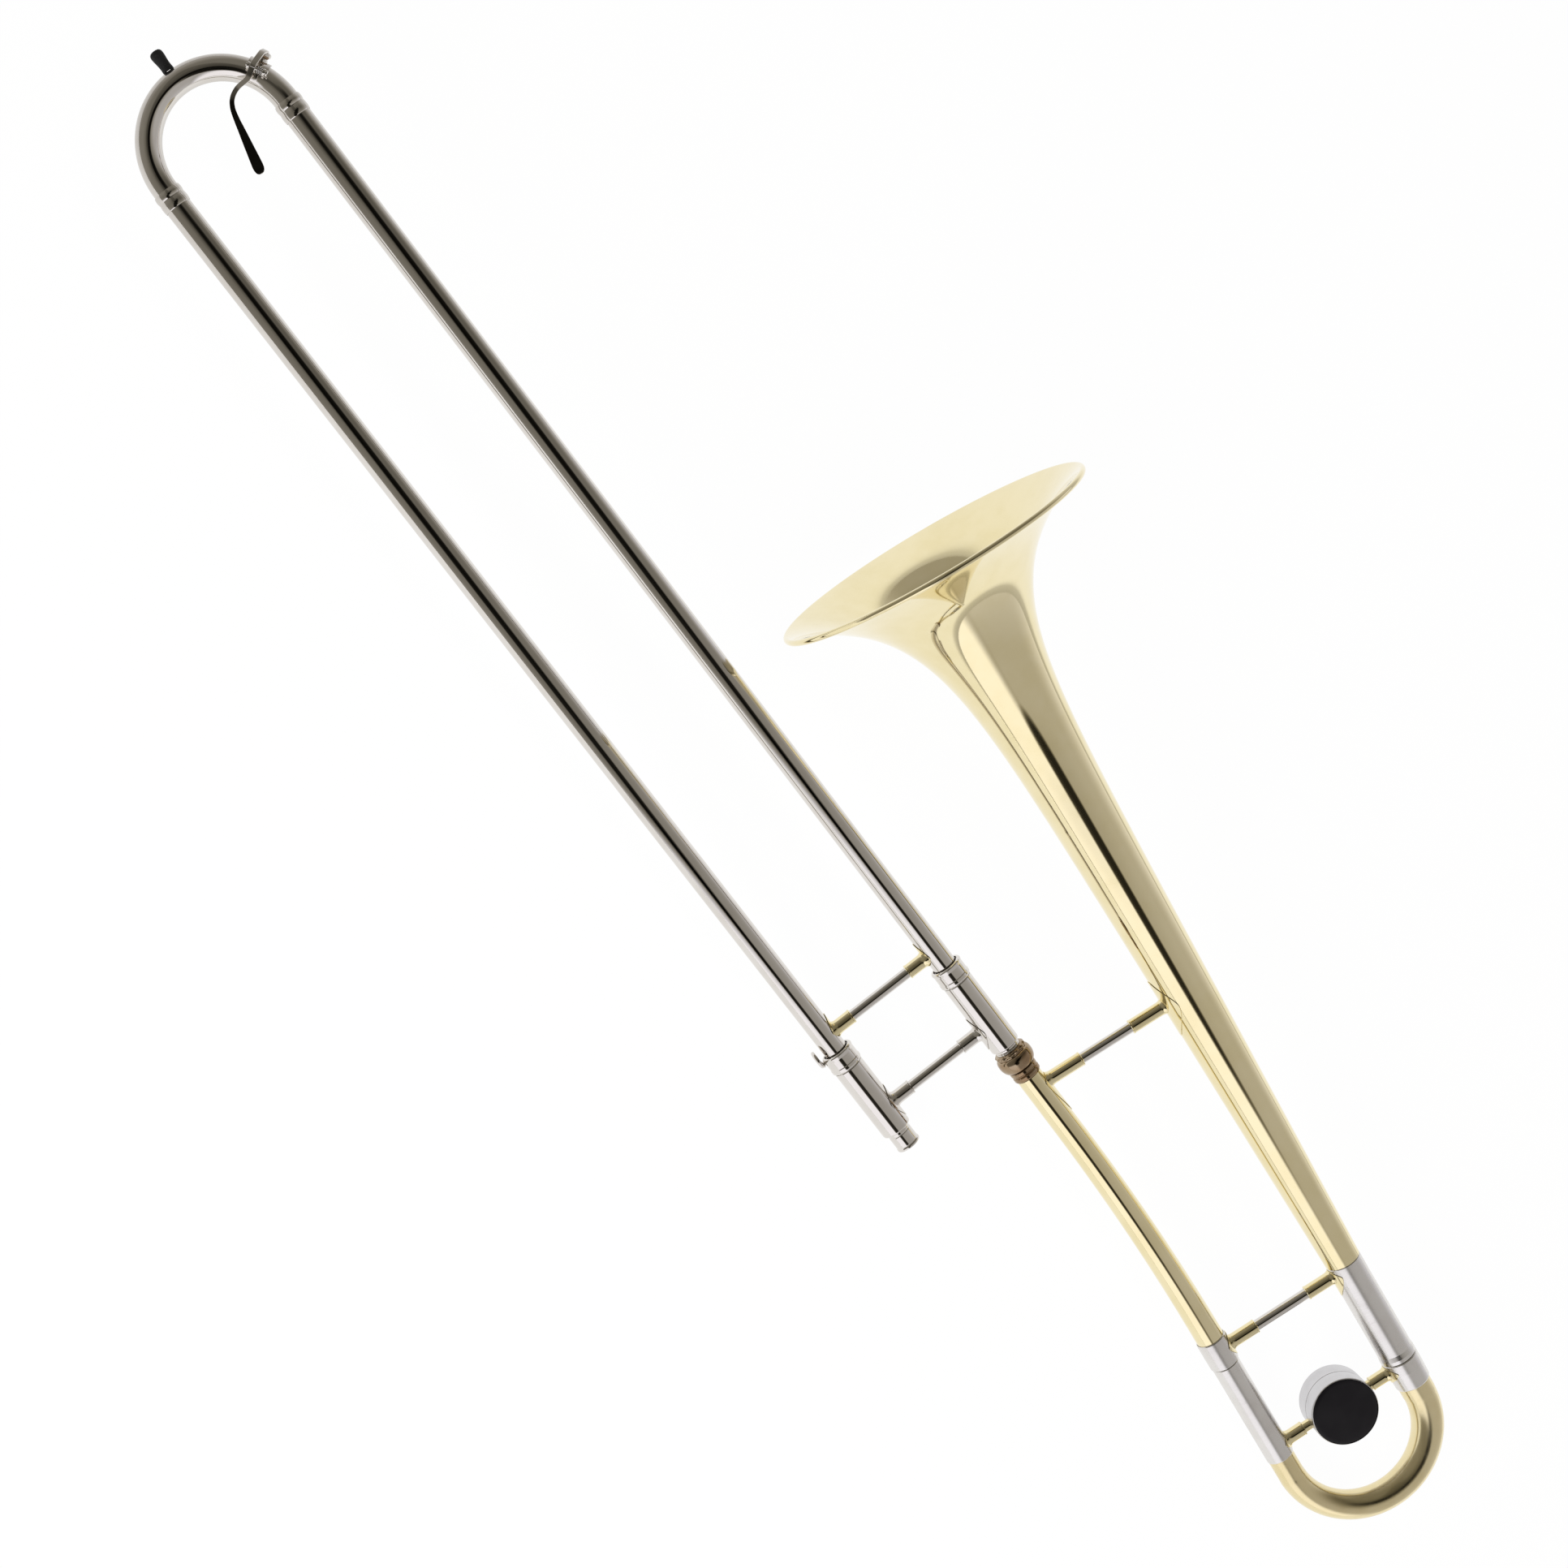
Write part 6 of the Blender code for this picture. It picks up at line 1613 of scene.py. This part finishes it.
@dataclass
class Studio:
    """The floor, the light and the camera, which stand by the slide's frame."""

    places: Places
    sensor: float = 36.0
    focal_pixels: float = 3000.0
    frame_pixels: float = 1932.0
    floor_size: float = 14.0
    floor_drop: float = 0.0005
    floor_glow: float = 1.02
    glow_share: float = 0.95
    fade_centre: float = 0.80
    fade_depth: float = 0.68

    def build(self) -> None:
        """Sets up the whole studio."""
        self.build_floor()
        self.build_world()
        self.build_lights()
        self.build_camera()
        bpy.context.scene.view_settings.view_transform = "Standard"

    def build_floor(self) -> None:
        """A white floor that keeps a faint shadow. To the camera it glows evenly white; to the metal's mirror rays
        its glow is painted strong near the slide and fading further off, a painted reflection.
        """
        Bench.clear()
        bpy.ops.mesh.primitive_plane_add(size=self.floor_size, location=(0, 0, -self.floor_drop))
        floor = bpy.context.object
        floor.name = "floor"
        material = bpy.data.materials.new("white_floor")
        material.use_nodes = True
        sheet = Sheet(material.node_tree)
        path = sheet.node("ShaderNodeLightPath")
        seen = self.shown(sheet, path)
        matt = sheet.node("ShaderNodeBsdfDiffuse", None, {"Color": (0.92, 0.92, 0.92, 1.0)})
        lit = sheet.node(
            "ShaderNodeEmission", None, {"Color": (1, 1, 1, 1), "Strength": self.floor_glow})
        # Painted reflection: the floor's glow, as the metal mirrors it, fades with distance from a point on the
        # slide.
        near = self.places.slide @ Vector((self.fade_centre, 0.0, 0.0))
        away = sheet.node("ShaderNodeVectorMath", {"operation": "DISTANCE"}, {
            0: sheet.node("ShaderNodeTexCoord").outputs["Object"], 1: (near.x, near.y, 0.0)})
        mirror_glow_share = 1.0 - Level(sheet, away.outputs["Value"]).over(0.55, 1.15) * self.fade_depth
        direct = Level(sheet, path.outputs["Is Camera Ray"])
        share = seen * self.glow_share * (direct + (1.0 - direct) * mirror_glow_share)
        both = sheet.node(
            "ShaderNodeMixShader", None, {0: share, 1: matt.outputs[0], 2: lit.outputs[0]})
        sheet.node("ShaderNodeOutputMaterial", None, {"Surface": both.outputs[0]})
        floor.data.materials.append(material)

    @staticmethod
    def shown(sheet: Sheet, path: bpy.types.Node) -> Level:
        """1 for the rays that see the white ground: the camera's and those that metal mirrors."""
        seen = Level(sheet, path.outputs["Is Camera Ray"])
        seen = seen + Level(sheet, path.outputs["Is Glossy Ray"])
        seen = seen + Level(sheet, path.outputs["Is Transmission Ray"])
        return seen.over(0.0, 1.0)

    def build_world(self) -> None:
        """White to the camera. The metal sees a white card, greys to each side and dark ovals."""
        world = bpy.data.worlds.new("studio")
        bpy.context.scene.world = world
        world.use_nodes = True
        sheet = Sheet(world.node_tree)
        path = sheet.node("ShaderNodeLightPath")
        seen = Level(sheet, path.outputs["Is Camera Ray"])
        direction = sheet.node("ShaderNodeTexCoord").outputs["Generated"]

        def part(axis: int) -> Level:
            """How far a ray points along one axis of the slide's frame."""
            node = sheet.node("ShaderNodeVectorMath", {"operation": "DOT_PRODUCT"},
                              {0: direction, 1: self.places.slide.col[axis].to_3d()})
            return Level(sheet, node.outputs["Value"])

        height = 1.0 + part(2)
        along, across = part(0) / height, part(1) / height

        def gap(centre: tuple[float, float], lean: float, long: float, short: float) -> Level:
            """An oval dark place overhead, at 0 in its middle and 1 outside."""
            cos, sin = math.cos(math.radians(lean)), math.sin(math.radians(lean))
            a, b = along - centre[0], across - centre[1]
            first, second = (a * cos + b * sin) / long, (b * cos - a * sin) / short
            return (first * first + second * second).over(0.45, 1.45)

        # The white card, the grey on the bell's side and the darker grey on the other side.
        card = across.over(-0.10, -0.24) * along.over(0.09, 0.18)
        left = along.over(-0.06, -0.30) * 0.08 + along.over(-0.45, -1.0) * 0.18
        grey = 0.12 + along.over(-0.06, 0.28) * 0.38 + along.over(0.4, 1.1) * 0.14 + left
        grey = grey + across.over(0.5, 1.3) * 0.36
        low = 0.20 + across.over(-0.25, -1.0) * (0.05 + along.over(-0.1, 0.15) * 0.13) + left * 0.6
        level = grey + (low - grey) * across.over(-0.05, -0.30)
        level = level + (1.18 - level) * card
        for oval, left_over in (
            (gap((0.02, 0.03), 108, 0.31, 0.080), 0.05),
            (gap((0.155, -0.11), 0, 0.078, 0.115), 0.05),
            (gap((-0.17, 0.03), 0, 0.28, 0.10), 0.60),
        ):
            level = level * (left_over + oval * (1.0 - left_over))
        colour = sheet.mixed(level.over(0.0, 0.8), (1.0, 0.92, 0.74), (1.0, 0.99, 1.04))
        around = sheet.node("ShaderNodeBackground", None, {"Color": colour, "Strength": level})
        white = sheet.node("ShaderNodeBackground", None, {"Color": (1, 1, 1, 1), "Strength": 1.0})
        both = sheet.node("ShaderNodeMixShader", None, {
            0: seen, 1: around.outputs[0], 2: white.outputs[0]})
        sheet.node("ShaderNodeOutputWorld", None, {"Surface": both.outputs[0]})

    def build_lights(self) -> None:
        """Two broad soft lights, the stronger one from the mouthpiece side."""
        place = self.places.slide
        for label, spot, aim, size, power in (
            ("key_softbox", (0.55, -1.10, 1.30), (0.45, 0.0, 0.0), (1.3, 0.9), 16.0),
            ("fill_softbox", (0.30, 0.90, 1.70), (0.40, 0.05, 0.0), (1.0, 0.5), 5.0),
        ):
            light = bpy.data.lights.new(label, "AREA")
            light.shape = "RECTANGLE"
            light.size, light.size_y = size
            light.energy = power
            obj = bpy.data.objects.new(label, light)
            obj.visible_glossy = False
            bpy.context.scene.collection.objects.link(obj)
            here, there = place @ Vector(spot), place @ Vector(aim)
            obj.matrix_world = Matrix.Translation(here) @ (
                (there - here).to_track_quat("-Z", "Y").to_matrix().to_4x4())

    def build_camera(self) -> None:
        """The camera where it was found to stand."""
        lens = bpy.data.cameras.new("camera")
        lens.sensor_fit = "HORIZONTAL"
        lens.sensor_width = self.sensor
        lens.lens = self.sensor * self.focal_pixels / self.frame_pixels
        lens.clip_start, lens.clip_end = 0.05, 50.0
        camera = bpy.data.objects.new("camera", lens)
        bpy.context.scene.collection.objects.link(camera)
        right = Vector((0.59501236, 0.79028941, 0.14629741))
        up = -Vector((0.77930984, -0.61182221, 0.13546128))
        back = -Vector((0.19656162, 0.03340987, -0.97992209))
        pose = Matrix((right, up, back)).transposed().to_4x4()
        pose.translation = Vector((0.19291822, -0.01713509, 1.40279882))
        camera.matrix_world = self.places.slide @ pose
        bpy.context.scene.camera = camera


def dress_hidden_nodes(place: Matrix) -> None:
    """Gives the nodes that stay, which are held inside, their own finish."""
    slot_of = {node["name"]: node.get("material") for node in frame["record"].get("nodes", [])
               if isinstance(node, dict)}
    for name, obj in frame["nodes"].items():
        if obj.hide_render:
            continue
        slot = slot_of.get(name)
        if slot is None and obj.material_slots and obj.material_slots[0].material:
            slot = obj.material_slots[0].material.name.split(".")[0]
        finish = FINISH.of_slot(slot)
        for material_slot in obj.material_slots:
            material_slot.material = finish.dress(place, Grain.AROUND)
        LOG.info("%s: kept, dressed as %s", name, slot)


def main() -> None:
    """Builds the trombone and its studio."""
    logging.basicConfig(level=logging.INFO, format="%(message)s")
    places = Places(frame["joints"])
    outer = OuterSlide(places)
    outer.build()
    WaterKey(places, outer.half, outer.crook_od / 2).build()
    inner = InnerSlide(places, outer)
    inner.build()
    LockRing(places, inner).build()
    joint = BellJoint(places, inner)
    joint.build()
    bell = BellSection(places, joint)
    bell.build()
    tuning = TuningSlide(bell)
    tuning.build()
    Counterweight(tuning).build()
    dress_hidden_nodes(bell.place)
    Studio(places).build()
    Bench.clear()


if __name__ == "__main__":
    main()
